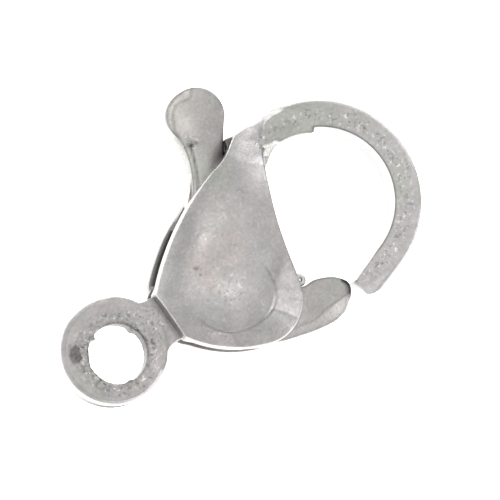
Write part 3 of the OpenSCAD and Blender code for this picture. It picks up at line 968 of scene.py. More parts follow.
cheek_rim = outline([
    ([CHEEK_X, -NECK_W / 2], 0.1),
    (BELLY_C + polar(BELLY_R, -97), turn_bulge(89)),
    (BELLY_C + polar(BELLY_R, -8), -0.052),
    ([8.521, 2.735], 0),
    (HOOK_C + polar(HOOK_FACE_R - 0.12, 86), 0),
    (HOOK_C + polar(HOOK_FACE_R + 0.06, 70), 0.1),
    (HOOK_C + polar(HOOK_OUT_R - 0.005, 68), turn_bulge(22)),
    (HOOK_C + polar(HOOK_OUT_R + 0.01, 90), 0.01),
    (HOOK_C + polar(HOOK_OUT_R + 0.26, ROOT_A - 3.5), 0),
    (NOTCH, -0.06),
    ([CHEEK_X + 4.35, AXIS_Y + 3.18], 0.064),
    ([CHEEK_X, NECK_W / 2], 0)])
cheek_rim = softened(even(cheek_rim, 0.05), 1)
LEFT_SIDE = np.array([4.6, 1.2])
RIGHT_SIDE = np.array([6.5, 0.5])


def cheek_rule(seed, pits):
    """The height rule of one cheek's face. Each face has its own relief."""
    def rule(points, gap):
        flat = on_plane(points)
        outer = smooth_step((points - NOTCH) @ polar(1, 30), -0.5, 0.4)
        z = dome(points) - 0.03 * np.clip(1 - gap / 0.05, 0, 1) ** 2
        left = smooth_step((points - LEFT_SIDE) @ polar(1, 122), 0.0, 0.6)
        z -= 0.12 * left * np.clip(0.38 - gap, 0, 1) ** 2
        right = smooth_step((points - RIGHT_SIDE) @ polar(1, -15), 0.8, 1.4)
        right *= smooth_step(points[:, 1], 3.0, 2.4)
        z -= 0.5 * right * np.clip(0.06 - gap, 0, 1)
        z -= 0.13 * outer * smooth_step(points[:, 0], 8.5, 9.0) * np.clip(1 - gap / 0.22, 0, 1) ** 2
        z -= 0.022 * groove(points, BELLY_CREASE, 0.035)
        z -= 0.014 * groove(points, FACET_EDGE, 0.03) + 0.008 * groove(points, SMALL_EDGE, 0.03)
        for height, centre, size, turn in CROWN_HILLS:
            z += height * bump_shape(flat, centre, size, turn)
        for centre, size, depth in pits:
            z -= 0.05 * depth * bump_shape(flat, centre, (size, size))
        z += 0.010 * lumps(flat, 1.1, seed) + 0.005 * lumps(flat, 0.4, seed + 2)
        return np.minimum(z, CROWN_TOP - 0.005)
    return rule


print("the cheek's rim has", len(cheek_rim), "points")

# %% [markdown]
# ## The two cheeks
# The cheeks face each other across the slot and hide the lever's hub. The back one could be a mirrored
# copy. But wax patterns seldom meet exactly, and in the photograph a strip of the back cheek shows past
# the front one. So it has its own seed, stands out a little on the left, and has a worn rim at the slot.

# %% The two cheeks
def below(rule, drop):
    """The same height rule, lower by drop"""
    return lambda points, gap: rule(points, gap) - drop


# the wall has a small foot where the cheek meets the neck
foot = 0.07 * smooth_step(cheek_rim[:, 0], CHEEK_X + 0.25, CHEEK_X)


def cheek(name, rim, seed, pits, worn_rim=0.0):
    """One cheek over the slot, with a worn rim at the slot's side where asked"""
    rule = cheek_rule(seed, pits)
    walls = [
        (foot - worn_rim, SLOT_HALF), (foot, SLOT_HALF + 0.06), (0.3 * foot, below(rule, 0.16)),
        (0.0, below(rule, 0.04))]
    return plate(name, rim, walls, SLOT_HALF, rule, casting_steel, spacing=0.06,
                 insets=(0.015, 0.035, 0.07), creases=(BELLY_CREASE, FACET_EDGE, SMALL_EDGE))


# the back cheek's offset fades out towards the notch and towards the neck
left_share = smooth_step((cheek_rim - LEFT_SIDE) @ polar(1, 122), 0.0, 0.8)
left_share *= smooth_step(cheek_rim[:, 1], 3.1, 2.2) * smooth_step(cheek_rim[:, 0], 2.3, 2.7)
back_rim = cheek_rim - 0.11 * left_share[:, None] * inward(cheek_rim)
front_cheek = cheek("front_cheek", cheek_rim, 2, PITS)
back_cheek = turn_over(cheek("back_cheek", back_rim, 40, PITS[5:7], 0.15 * left_share))

# %% [markdown]
# ## Neck and tongue
# The neck flares from the ring into a tongue that shuts the end of the lever's slot. Plain boxes would do
# inside the casting, but these edges show. So one function builds such plates from outlines, alike on both
# faces, with rounded edges and a little relief.

# %% Small plates of the casting
def flat_plate(name, rows, half, edge=0.04, relief=0.008, size=0.5, seed=1, carve=None):
    """A plate alike on both faces, with rounded edges, a little relief and maybe a carved place"""
    rim = softened(even(outline(rows), 0.06), 1)

    def face(points, gap):
        relief_here = relief * (1 + lumps(on_plane(points), size, seed))
        z = half - relief_here - edge * np.clip(1 - gap / edge, 0, 1) ** 2
        return z - carve(points) if carve else z

    def back(points, gap):
        return -face(points, gap)
    return plate(name, rim, [(0, back), (0, below(face, 2 * half - 4 * edge)), (0, below(face, edge))],
                 back, face, casting_steel, insets=(0.3 * edge, edge, 2 * edge))


def ring_overlap(points):
    """Lets the neck dive below the ring's face"""
    return 0.03 * smooth_step(np.hypot(*(points - RING_C).T), RING_R - 0.12, RING_R - 0.30)


neck = flat_plate("neck", [
    (RING_C + polar(RING_R - 0.35, -30), 0),
    (RING_C + polar(RING_R - 0.04, -44), -0.14),
    ([CHEEK_X - 0.15, -NECK_W / 2 + 0.05], 0),
    ([CHEEK_X + 0.1, -NECK_W / 2], 0),
    ([CHEEK_X + 0.1, NECK_W / 2], 0),
    ([CHEEK_X - 0.2, NECK_W / 2 + 0.02], -0.16),
    (RING_C + polar(RING_R - 0.04, 48), 0),
    (RING_C + polar(RING_R - 0.35, 34), 0.1)], RING_HALF + 0.004, edge=0.02, relief=0.012, size=0.9, seed=5,
    carve=ring_overlap)
tongue = flat_plate("tongue", [
    ([CHEEK_X - 0.9, -NECK_W / 2 + 0.02], 0), ([CHEEK_X + 0.6, -NECK_W / 2 + 0.02], 0),
    ([CHEEK_X + 0.6, NECK_W / 2 - 0.02], 0), ([CHEEK_X - 0.9, NECK_W / 2 - 0.02], 0)], 0.5)

# %% [markdown]
# ## The hook's root and the web
# Where the hook leaves the cheeks the corner is filled up, because the chain's pull bends it most there. A
# round fillet could fill it, but the photograph shows a small step inside the hook and a steep bright
# facet beside the cheek. So the root is a plate with the facet carved into it. The web is a plate as
# well, and joins the cheeks to the hook beside the lever's stem.

# %% The hook's root and the web
ROOT_LOW = HOOK_C + polar(HOOK_IN_R - 0.32, ROOT_A - 3)
FACET_CORNER = np.array([8.72, 3.04])


def corner_facet(points):
    """How deep the steep bright facet in the corner between cheek and hook cuts"""
    depth = np.clip((points - FACET_CORNER) @ polar(1, -100), 0, 0.42)
    return depth * smooth_step(points[:, 0], 9.5, 9.1)


root_fill = flat_plate("root_fill", [
    (ROOT_LOW, -0.06),
    (HOOK_C + polar(HOOK_IN_R - 0.08, ROOT_A - 22), -0.07),
    (HOOK_C + polar(HOOK_IN_R - 0.2, ROOT_A - 51), 0),
    (HOOK_C + polar(HOOK_IN_R + 0.3, ROOT_A - 54), turn_bulge(54)),
    (HOOK_C + polar(HOOK_IN_R + 0.3, ROOT_A), 0),
    (HOOK_C + polar(0.88 * HOOK_IN_R, ROOT_A + 16), 0)], HOOK_HALF + 0.002, relief=0.0, carve=corner_facet)

STEM_WAY = polar(1, THUMB_A)
STEM_RIGHT = np.array([STEM_WAY[1], -STEM_WAY[0]])


def on_stem(along, sideways):
    """A point along the lever's stem from the pivot, and to the right of it"""
    return PIVOT + along * STEM_WAY + sideways * STEM_RIGHT


web_corner = on_stem(0.85 * NOTCH_R, STEM_EDGE + 0.06)
print("the web starts at", web_corner.round(3))
web = flat_plate("web", [
    (web_corner, 0),
    (ROOT_LOW + np.array([-0.02, -0.04]), 0),
    (HOOK_C + polar(HOOK_IN_R + 0.1, ROOT_A - 10), 0),
    (HOOK_C + polar(HOOK_FACE_R, ROOT_A - 25), 0.02),
    (HOOK_C + polar(HOOK_OUT_R + 0.2, ROOT_A - 3.5), 0),
    ([8.23, 3.92], 0),
    ([7.76, 4.03], 0),
    (NOTCH + np.array([0.0, -0.02]), 0)], 0.6, seed=11)

# %% [markdown]
# ## One casting
# The real part is a single casting. Its pieces could simply overlap, but the seams would show wherever two
# of them cross. So they are joined by boolean unions into one closed skin. Before that the hook's tip gets
# its rounded corner and slanting end, and its root the corner facet.

# %% Union of the casting
def combine(target, others, operation="UNION"):
    """Joins other pieces to one, or cuts them out of it, and removes them"""
    for other in others:
        modifier = target.modifiers.new("join", "BOOLEAN")
        modifier.operation = operation
        modifier.solver = "MANIFOLD"
        modifier.object = other
        ready = target.evaluated_get(bpy.context.evaluated_depsgraph_get())
        mesh = bpy.data.meshes.new_from_object(ready)
        target.modifiers.remove(modifier)
        target.data = mesh
        bpy.data.objects.remove(other)
    print(f"  {target.name}: {len(target.data.polygons)} faces joined")


# the corner that is cut off the tip, as (out past the outer wall, on past the tip's end)
TIP_CUT = [
    (-0.42, -0.01), (-0.20, -0.16), (-0.07, -0.45), (-0.01, -1.0), (0.5, -1.0), (0.5, 0.5), (-0.42, 0.5)]
tip_out = polar(1, TIP_A)
cut_rim = np.array([HOOK_C + tip_out * (HOOK_OUT_R + out) + tip_way * (TIP_L + on) for out, on in TIP_CUT])
hook_tip_cut = plate(
    "hook_tip_cut", even(cut_rim[::-1], 0.1), [(0, -1.2)], -1.2, 1.2, casting_steel, 0.5, ())
combine(hook, [hook_tip_cut], "DIFFERENCE")


def tip_shape(points):
    """Gives the tip its slanting end and cuts the root's corner facet"""
    points = points.copy()
    root = smooth_step(points[:, 0], 9.6, 9.1) * (points[:, 1] > 2)
    points[:, 2] *= 1 - root * corner_facet(points[:, :2]) / HOOK_HALF
    # the root's outer corner falls away to the shoulder's line
    fall = np.clip(side_distance(points[:, :2], HOOK_FACE_EDGE), 0, 0.5) * (points[:, 1] > 3.3)
    fall *= smooth_step(points[:, 0], 10.6, 9.9)
    points[:, 2] = np.sign(points[:, 2]) * np.minimum(np.abs(points[:, 2]), HOOK_HALF - 0.9 * fall)
    rel = points[:, :2] - HOOK_C
    # the tip narrows a little, and its end slants, longest in the middle of its width
    along = np.clip(rel @ tip_way, 0, None) * (rel @ tip_out > 2)
    inner = np.clip((HOOK_OUT_R - rel @ tip_out) / (HOOK_OUT_R - HOOK_IN_R), 0, 1)
    bend_out = (0.07 * inner - 0.04) * (along / TIP_L) ** 2
    longer = np.interp(inner, [0, 0.26, 0.5, 1], [0.06, 0.14, 0.14, -0.04]) * along / TIP_L
    points[:, :2] += np.outer(bend_out, tip_out) + np.outer(longer, tip_way)
    return points


reshape(hook, tip_shape)

casting = ring
casting.name = "casting"
combine(casting, [neck, tongue, front_cheek, back_cheek, web, root_fill, hook])

# %% [markdown]
# ## The cast skin
# Molten steel copies the grain of its ceramic shell, so no face is truly smooth. A bump map would show
# the grain on the faces only, not on the edges. So a small tree moves the points themselves, along their
# normals and nearly always inwards, which keeps the piece inside its frame.

# %% Node tree for the cast skin
skin_tree, size = sizes_tree("cast skin", {"Grain": 0.1, "Depth": 0.01, "Seed": 1})
grain_scale = add(skin_tree, MATH, {0: 1.0, 1: size["Grain"]}, operation="DIVIDE")
cloud = add(skin_tree, NOISE, {
    "Vector": add(skin_tree, "GeometryNodeInputPosition"), "W": size["Seed"], "Scale": grain_scale,
    "Detail": 3.0, "Roughness": 0.6}, noise_dimensions="4D")
below_top = add(skin_tree, MATH, {0: cloud, 1: 0.75}, operation="SUBTRACT")
sunk = add(skin_tree, MATH, {0: below_top, 1: size["Depth"]}, operation="MULTIPLY")
push_in = add(skin_tree, "ShaderNodeVectorMath", {
    0: add(skin_tree, "GeometryNodeInputNormal"), "Scale": sunk}, operation="SCALE")
skinned = add(skin_tree, "GeometryNodeSetPosition", {"Geometry": size["Geometry"], "Offset": push_in})
end_tree(skin_tree, size, skinned)


def shade_soft(piece, crease):
    """Smooth shading, with sharp edges where faces meet at more than the crease angle"""
    piece.data.shade_smooth()
    piece.data.set_sharp_from_angle(angle=math.radians(crease))


def finish_skin(piece, grain, depth, seed, material):
    """Gives a finished piece its cast skin, its steel and its shading"""
    run_tree(piece, skin_tree, {"Grain": grain * MM, "Depth": depth * MM, "Seed": seed}, material)
    shade_soft(piece, 38)


finish_skin(casting, 0.25, 0.012, 4, casting_steel)

# %% [markdown]
# ## Grime, painted light and grit on the casting
# Polishing grime stays in the creases and round the eye, and tumbling and handling leave what stands out
# polished. Shade is painted into the colour as well, in the creases, the slot and along the walls, and
# highlights on the plateaus, facets and shoulder. An image could be painted over the clasp, but it would
# need unwrapping and would blur. So two values are worked out for each point and stored on the mesh, where
# the steel reads them: the first darkens and dulls, as grime and painted shade, and below 0 it lightens as
# a painted highlight, and grit brings pits and sparks.

# %% Marks and where they lie
# only the cheek's face rises above the first height, since the hook's face is lower. What is above the
# second height counts as front.
CHEEK_LOW = 0.97
FRONT = 0.3
# the lowest value: the strongest painted highlight
BRIGHTEST_PAINTED_HIGHLIGHT = -0.5
SHOULDER_LOW = np.array([[8.60, 2.20], [7.83, 2.85], [7.43, 3.42], [7.2, 3.8]])
ROOT_STEP = np.array([
    ROOT_LOW, HOOK_C + polar(HOOK_IN_R - 0.08, ROOT_A - 22), HOOK_C + polar(HOOK_IN_R - 0.2, ROOT_A - 51),
    HOOK_C + polar(HOOK_IN_R, ROOT_A - 51.5)])
CORNER_SEAM = np.array([[8.66, 3.05], [8.60, 2.85], [8.57, 2.62]])


def set_marks(piece, grime_and_light_rule, grit_rule):
    """Stores for each point of a piece its grime and painted shade, below 0 its painted highlight, and how
    pitted it is
    """
    points = points_of(piece.data)
    grime_and_painted_light = np.clip(grime_and_light_rule(points), BRIGHTEST_PAINTED_HIGHLIGHT, 1)
    grit = np.clip(grit_rule(points), 0, 1)
    for label, values in [("grime_and_painted_light", grime_and_painted_light), ("grit", grit)]:
        layer = piece.data.attributes.new(label, "FLOAT", "POINT")
        layer.data.foreach_set("value", values.astype(np.float32))
        print(f"  {piece.name}: {label} from {values.min():.2f} to {values.max():.2f}")


def seen_from(points, centre):
    """Distance of points from a centre, and their bearing round it in degrees"""
    rel = points[:, :2] - centre
    return np.hypot(*rel.T), np.degrees(np.arctan2(rel[:, 1], rel[:, 0]))


def hook_frame(points):
    """Which points lie on the hook, their distance from its middle and bearing round it"""
    reach, turn = seen_from(points, HOOK_C)
    on_hook = (points[:, 0] > 8.5) & (reach > HOOK_IN_R - 0.5) & (reach < HOOK_OUT_R + 0.2)
    return on_hook, reach, turn


print("soot runs from", BRIGHTEST_PAINTED_HIGHLIGHT, "to 1")

# %% [markdown]
# ## Marks of the cheeks
# Dark lines are painted into the creases between the facets, as painted shade with some grime, and the
# plateaus, the facets and the shoulder are lightened as painted highlights. A cavity mask could find the
# creases by itself, but it would darken them all alike. So the lines of the height rule are used again,
# each with its own amount.

# %% Marks of the cheeks
# painted highlights on the plateaus, as (middle, size, turn, amount)
PLATEAU_HIGHLIGHTS = [
    ((4.90, 1.66), (0.50, 0.32), 25, 0.30), ((4.60, -0.55), (0.52, 0.40), 0, 0.32),
    ((4.30, -0.95), (0.35, 0.20), -20, 0.12), ((4.32, 2.36), (0.80, 0.17), 30, 0.16),
    ((5.45, 1.70), (0.35, 0.25), 0, 0.06)]


def facets(points):
    """Where painted highlights lie: the facet right of the belly, the small one left of it, and the shoulder,
    each from 0 to 1
    """
    off_boss = smooth_step(np.hypot(*(points - BOSS_C).T), BOSS_R, BOSS_R + 0.08)
    bright = off_boss * smooth_step(side_distance(points, FACET_TOP), 0.03, -0.03) * (points[:, 0] > 5)
    bright *= smooth_step(side_distance(points, FACET_EDGE), -0.03, 0.03)
    small = off_boss * smooth_step(side_distance(points, SMALL_EDGE), 0.02, -0.05) * (points[:, 1] < -0.4)
    small *= smooth_step(points[:, 0], 2.7, 3.3) * (points[:, 0] < 3.9)
    shoulder = smooth_step(side_distance(points, SHOULDER_LOW), 0.06, -0.08) * (points[:, 1] > 1.8)
    return bright, small, shoulder


def cheek_grime_and_painted_light(points):
    """Dark creases and pits, as painted shade with some grime, and painted highlights on plateaus, facets and
    shoulder
    """
    flat = points[:, :2]
    # painted shade with some grime in the creases and pits
    grime_and_painted_light = 0.50 * groove(flat, BELLY_CREASE, 0.035)
    grime_and_painted_light += 0.34 * groove(flat, FACET_EDGE, 0.035) + 0.20 * groove(flat, SMALL_EDGE, 0.03)
    for centre, size, depth in PITS:
        grime_and_painted_light += 0.7 * depth * bump_shape(points, centre, (1.2 * size, 1.2 * size))
    for centre, size, turn, amount in PLATEAU_HIGHLIGHTS:
        grime_and_painted_light -= amount * bump_shape(points, centre, size, turn)
    # painted highlights: the facets and the shoulder are lighter than the crown
    bright, small, shoulder = facets(flat)
    to_hook = side_distance(flat, HOOK_FACE_EDGE)
    shoulder_highlight = 0.34 + 0.16 * smooth_step(to_hook, 0.6, 0.15)
    grime_and_painted_light -= 0.14 * bright + 0.30 * small + shoulder_highlight * shoulder * smooth_step(to_hook, 0.03, 0.08)
    # painted shade: darker and duller below the belly and in the hollow between crown and shoulder
    grime_and_painted_light += 0.17 * bump_shape(points, (4.90, -2.45), (0.9, 0.35), 5)
    grime_and_painted_light += 0.15 * bump_shape(points, (7.08, 2.52), (0.6, 0.5), 30) * (1 - shoulder)
    return grime_and_painted_light


print(len(PLATEAU_HIGHLIGHTS), "places polished by handling")

# %% [markdown]
# ## Marks of the walls
# The slot's walls look dark, from shade and a little grime. The render could leave that to shadow, but
# metal mirrors the bright floor even there. So shade is painted onto the walls by rule, from their
# distance to the cheek's rim and their height.

# %% Marks of the walls
def wall_painted_shade(points):
    """Painted shade on the slot's walls, the step at the neck, the walls below the cheeks' rims and the web's
    wall, with a painted highlight on the ledge's outer part
    """
    flat, z = points[:, :2], points[:, 2]
    gap = distance(flat, cheek_rim)
    within = inside(flat, cheek_rim) | (gap < 0.03)
    past_neck = points[:, 0] > CHEEK_X
    belly = smooth_step(points[:, 0], 2.9, 3.8) * smooth_step(points[:, 1], -1.0, -1.6)
    in_slot = (np.abs(z) < SLOT_HALF + 0.01) * past_neck * within * (gap > 0.03)
    # painted shade in the slot, lighter at the belly, and on the step at the neck
    grime_and_painted_light = (0.6 - 0.4 * belly) * in_slot
    step = smooth_step(points[:, 0], 1.98, 2.20) * smooth_step(points[:, 0], 2.30, 2.26)
    grime_and_painted_light += 0.30 * step * (np.abs(z) > 0.62) * smooth_step(np.abs(z), 1.35, 1.15)
    # painted shade: the walls darken towards the slot and at the back's edge, and the ledge's outer part is
    # lightened as a painted highlight
    wall = (gap < 0.19) * (z < -SLOT_HALF + 0.02) * past_neck
    ledge = 1.1 * np.exp(-(gap / 0.07) ** 2) - 0.30 * smooth_step(gap, 0.06, 0.13)
    shade = np.where(z > -0.5, ledge, 0.28 + 0.32 * smooth_step(z, -1.3, -0.5))
    grime_and_painted_light += shade * wall * smooth_step(flat @ polar(1, 122), -1.0, 0.5)
    grime_and_painted_light += 0.40 * wall * (flat[:, 1] < -0.5) * smooth_step(z, -0.95, -1.10)
    # painted shade: a thin dark line inside the front cheek's right edge
    right = smooth_step((flat - RIGHT_SIDE) @ polar(1, -15), 0.5, 1.0) * smooth_step(flat[:, 1], 3.1, 2.8)
    right *= (z > FRONT) * smooth_step(flat[:, 1], -1.4, -1.1)
    grime_and_painted_light += 0.45 * right * np.exp(-(gap / 0.035) ** 2)
    # painted shade on the web's wall beside the thumb pad
    beside_pad = smooth_step(bump_shape(points, (7.80, 3.95), (0.6, 0.6)), 0.2, 0.6)
    return grime_and_painted_light + 0.65 * beside_pad * (np.abs(z) < 0.63)


print("the slot's walls are", 2 * SLOT_HALF, "mm apart")

# %% [markdown]
# ## Marks of the ring and the hook
# The eye is crusty where the jump ring doesn't rub. Shade is painted along the hook's inner edge and on the
# ring's walls, and highlights on parts of their faces. A dirt texture all over would miss these. So these
# marks follow the distance from the eye's or the hook's middle and the bearing round it.

# %% Marks of the ring and the hook
# small dark spots of the ring's face, as (middle, size)
RING_SPOTS = [((-1.15, -0.42), 0.07), ((-1.20, -0.72), 0.05), ((-1.28, 1.25), 0.06)]


def ring_grime_and_painted_light(points):
    """Crust round the eye, a dark dent, painted shade on the lower back edge and the walls, painted
    highlights on the face, and the neck's faint arc
    """
    z = points[:, 2]
    front = z > FRONT
    reach, turn = seen_from(points, 0)
    crust = smooth_step(reach, 1.75, 1.3) * smooth_step(lumps(points, 0.13, 9, 4), -0.05, 0.5)
    grime_and_painted_light = 0.30 * crust * (0.35 + 0.65 * around(turn, 190, 80)) * (np.abs(z) > 0.4)
    dent = bump_shape(points, (-1.30, 0.86), (0.23, 0.38), -36) + 0.20 * lumps(points, 0.22, 17)
    grime_and_painted_light += 0.52 * front * smooth_step(dent, 0.30, 0.55)
    grime_and_painted_light += 0.22 * front * bump_shape(points, (-0.98, 0.98), (0.17, 0.10))
    for centre, size in RING_SPOTS:
        grime_and_painted_light += 0.4 * front * bump_shape(points, centre, (size, size))
    # a little darker over the face, most towards the lower left
    grime_and_painted_light += 0.06 * front * (reach < 2.2) * (1 + around(turn, -140, 50))
    grime_and_painted_light += 0.35 * np.exp(-((reach - EYE_R) / 0.05) ** 2) * front
    # painted shade on the outer wall, the eye's wall and a part of the face's rim, and a painted highlight on
    # another part of the rim
    rim_reach, _ = seen_from(points, RING_C)
    outer_wall = (rim_reach > RING_R - 0.13) * (points[:, 0] < 2.0)
    grime_and_painted_light += 1.1 * outer_wall * np.exp(-((z + 0.16) / 0.40) ** 4) * around(turn, -118, 52)
    grime_and_painted_light += 0.62 * (reach < EYE_R + 0.07) * smooth_step(z, 0.60, 0.50) * around(turn, 5, 70)
    grime_and_painted_light += 0.40 * front * np.exp(-((RING_R - rim_reach) / 0.05) ** 2) * around(turn, -48, 36)
    grime_and_painted_light -= 0.26 * front * smooth_step(rim_reach, RING_R - 0.25, RING_R - 0.15) * around(turn, 185, 80)
    # where the ring runs into the neck: a faint arc, and a painted highlight below it
    grime_and_painted_light += 0.13 * front * np.exp(-((reach - 1.40) / 0.035) ** 2) * around(turn, 5, 30)
    return grime_and_painted_light - 0.26 * front * bump_shape(points, (0.85, -1.16), (0.42, 0.20), 54)


def hook_painted_light(points):
    """Painted shade along the inner edge, near the root and in the seam by the corner's facet, and painted
    highlights towards the tip, on the outer slope and on the facet
    """
    flat, z = points[:, :2], points[:, 2]
    front = z > FRONT
    on_hook, reach, turn = hook_frame(points)
    edge_gap = np.where(turn > ROOT_A - 51.5, distance(flat, ROOT_STEP, closed=False), reach - HOOK_IN_R)
    # painted shade along the hook's inner edge
    grime_and_painted_light = 0.55 * on_hook * np.exp(-((edge_gap - 0.01) / 0.05) ** 2) * (np.abs(z) > 0.88)
    # painted highlights towards the tip and on the outer slope, and a little painted shade near the root
    grime_and_painted_light -= 0.05 * on_hook * front * smooth_step(turn, 45, 10)
    grime_and_painted_light -= 0.45 * on_hook * smooth_step(reach, HOOK_FACE_R, HOOK_FACE_R + 0.08) * around(turn, -30, 55)
    grime_and_painted_light += 0.05 * on_hook * around(turn, 75, 45) * front
    # painted highlight on the corner's facet, and painted shade in the seam beside it
    facet = smooth_step(corner_facet(flat), 0.01, 0.05) * smooth_step(flat[:, 0], 9.6, 9.1) * (flat[:, 1] > 2)
    grime_and_painted_light -= 0.4 * facet * smooth_step(z, 0.30, 0.50) * smooth_step(z, 0.95, 0.90)
    return grime_and_painted_light + 0.5 * (z > CHEEK_LOW) * line_mark(flat, CORNER_SEAM, 0.03)


print(len(RING_SPOTS), "small spots on the ring's face")

# %% [markdown]
# ## Grime, painted light and grit of the whole casting
# A single casting has a single skin. Its marks could be kept as many layers, but the steel only needs
# their sum. So they are added up and stored once, and the frame is told that this piece rides on the
# casting and takes the body's place.

# %% Grime, painted light and grit of the whole casting
def casting_grime_and_painted_light(points):
    """All marks of the casting, grime, painted shade and painted highlights, added up"""
    on_cheeks = points[:, 2] > CHEEK_LOW
    return on_cheeks * cheek_grime_and_painted_light(points) + wall_painted_shade(points) + ring_grime_and_painted_light(points) + hook_painted_light(points)


def casting_grit(points):
    """Pits and sparks round the eye, in patches on the hook's face, and thinly on the crown"""
    z = points[:, 2]
    patches = 0.5 + 0.5 * smooth_step(lumps(points, 0.55, 27), -0.3, 0.4)
    eye_reach, _ = seen_from(points, 0)
    grit = 0.95 * smooth_step(eye_reach, 1.80, 1.35) * (0.4 + 0.6 * patches) * (points[:, 0] < 2.0)
    grit += 0.7 * bump_shape(points, (1.75, 0.25), (0.35, 0.8))
    on_hook, hook_reach, _ = hook_frame(points)
    grit += 0.95 * on_hook * patches * np.exp(-((hook_reach - 3.12) / 0.30) ** 2) * (z > 0.9)
    on_cheeks = z > CHEEK_LOW
    grit += on_cheeks * (0.16 + 0.35 * bump_shape(points, (4.55, -0.50), (0.6, 0.5)))
    grit += on_cheeks * 0.30 * bump_shape(points, (4.90, 1.66), (0.5, 0.4))
    grit += on_cheeks * 0.25 * bump_shape(points, (3.35, -1.75), (0.28, 0.50), 25)
    return grit + 0.15 * (z < -0.3)


set_marks(casting, casting_grime_and_painted_light, casting_grit)
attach(casting, "casting")
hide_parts("body")

# %% [markdown]
# ## The lever
# The lever is cast as well: a round thumb pad, a stem that goes down between the cheeks, a hub with the
# rivet's hole and the gate that shuts the hook. One plate of even thickness could carry all of it, but the
# pad stands thicker than the plate between the cheeks. So there are two plates, joined. The gate's edge
# is a chain of short arcs, because it bends with the hook.

# %% The lever's outline
gate_tip = HOOK_C + polar(HOOK_IN_R, TIP_A) + TIP_L * tip_way
GATE_R = float(np.linalg.norm(gate_tip - PIVOT)) - 0.08
GATE_A = bearing(gate_tip - PIVOT)


def on_gate(turned, share_of_reach):
    """A point at a bearing from the gate's tip and a share of its distance from the pivot"""
    return PIVOT + polar(share_of_reach * GATE_R, GATE_A + turned)


HUB_R = 1.75
gate_root = on_gate(1.7, 0.61)
plate_rim = outline([
    (on_stem(NOTCH_R - 0.35, STEM_EDGE), 0),
    (THUMB_C + polar(0.8 * THUMB_R, THUMB_A - 92), turn_bulge(210)),
    (THUMB_C + polar(0.8 * THUMB_R, THUMB_A + 118), -0.1),
    (on_stem(0.69 * NOTCH_R, STEM_EDGE - STEM_W), 0),
    (PIVOT + polar(HUB_R, 165), 0.2),
    (on_gate(-59.9, 0.547), 0.02),
    (on_gate(-40.6, 0.664), 0.02),
    (on_gate(-28.8, 0.793), 0.02),
    (on_gate(-21.3, 0.900), 0.03),
    (on_gate(-14.6, 0.972), 0.04),
    (on_gate(-8.0, 1.004), 0.04),
    (on_gate(-3.9, 1.011), 0.04),
    (on_gate(-0.8, 1.003), 0.04),
    (on_gate(1.05, 0.975), 0.03),
    (on_gate(3.6, 0.895), 0.03),
    (on_gate(4.8, 0.824), 0.02),
    (on_gate(5.1, 0.735), 0.02),
    (on_gate(4.4, 0.664), 0),
    (gate_root, 0),
    (PIVOT + polar(0.78 * HUB_R, GATE_A - 10), -0.1),
    (on_stem(0.6 * NOTCH_R, STEM_EDGE), 0)])
plate_rim = softened(even(plate_rim, 0.06), 1)
GATE_BEVEL = np.array([
    [5.40, -2.95], [6.11, -3.06], [6.62, -3.20], [7.02, -3.14], [7.51, -3.12], [8.14, -3.12], [8.6, -3.1]])


def lever_face(points, gap):
    """The plate's height, with a rounded edge and the gate's bevel"""
    z = LEVER_HALF - 0.47 * np.clip(0.06 - gap, 0, 1)
    rel = points - PIVOT
    gate = smooth_step(rel @ polar(1, GATE_A), 1.6, 2.2)
    # the gate's lower bevel and its rounded end, which faces right in the picture
    z -= 0.12 * gate * np.maximum(-side_distance(points, GATE_BEVEL), 0)
    end = np.clip(rel @ polar(1, GATE_A - 3) - (GATE_R - 0.22), 0, 0.235)
    z -= gate * (0.25 - np.sqrt(0.0625 - end ** 2))
    return z - 0.004 * (1 + lumps(on_plane(points), 0.5, 21))


def turned_over(rule):
    """The same height rule for the back face"""
    return lambda points, gap: -rule(points, gap)


lever = plate("lever_plate", plate_rim, [
    (0, turned_over(lever_face)), (0.01, turned_over(below(lever_face, 0.03))),
    (0.01, below(lever_face, 0.03))], turned_over(lever_face), lever_face, lever_steel)

# %% [markdown]
# ## The thumb pad and the upper stem
# The thumb pad is where the nail pulls. A bevel runs down its left side, and down its stem a fine seam,
# such as a wax mould leaves. A bevel modifier would follow the outline, and these lines don't. So the
# height rule falls away from each of them, and a cluster of pits sits beside the seam.

# %% The thumb pad
pad_rim = outline([
    (THUMB_C + polar(THUMB_R - 0.02, THUMB_A - 100), turn_bulge(225)),
    (THUMB_C + polar(THUMB_R - 0.02, THUMB_A + 125), -0.10),
    (on_stem(0.66 * NOTCH_R, STEM_EDGE - STEM_W + 0.04), 0),
    (on_stem(0.66 * NOTCH_R, STEM_EDGE - 0.04), 0),
    (on_stem(NOTCH_R - 0.35, STEM_EDGE - 0.02), -0.04)])
pad_rim = softened(even(pad_rim, 0.05), 2)
# the pad is a little wider than round: it stands out to the left
out_left = np.clip((pad_rim - THUMB_C) @ polar(1, 144) - 0.45, 0, None)
pad_rim = pad_rim + np.outer(0.30 * out_left ** 2, polar(1, 144))
SEAM = np.array([
    [5.7, 2.8], [5.95, 3.2], [6.24, 3.67], [6.43, 4.10], [6.60, 4.53], [6.74, 4.95], [6.95, 5.60]])
BEVEL = np.array([
    [5.40, 2.80], [5.74, 3.33], [6.05, 3.87], [6.25, 4.39], [6.39, 4.96], [6.45, 5.38], [6.64, 5.73],
    [6.79, 5.93], [7.01, 6.05], [7.27, 6.04], [7.58, 5.97], [7.72, 6.02], [7.84, 6.22], [8.00, 6.50]])
PIT_CLUSTER = (6.64, 4.57)


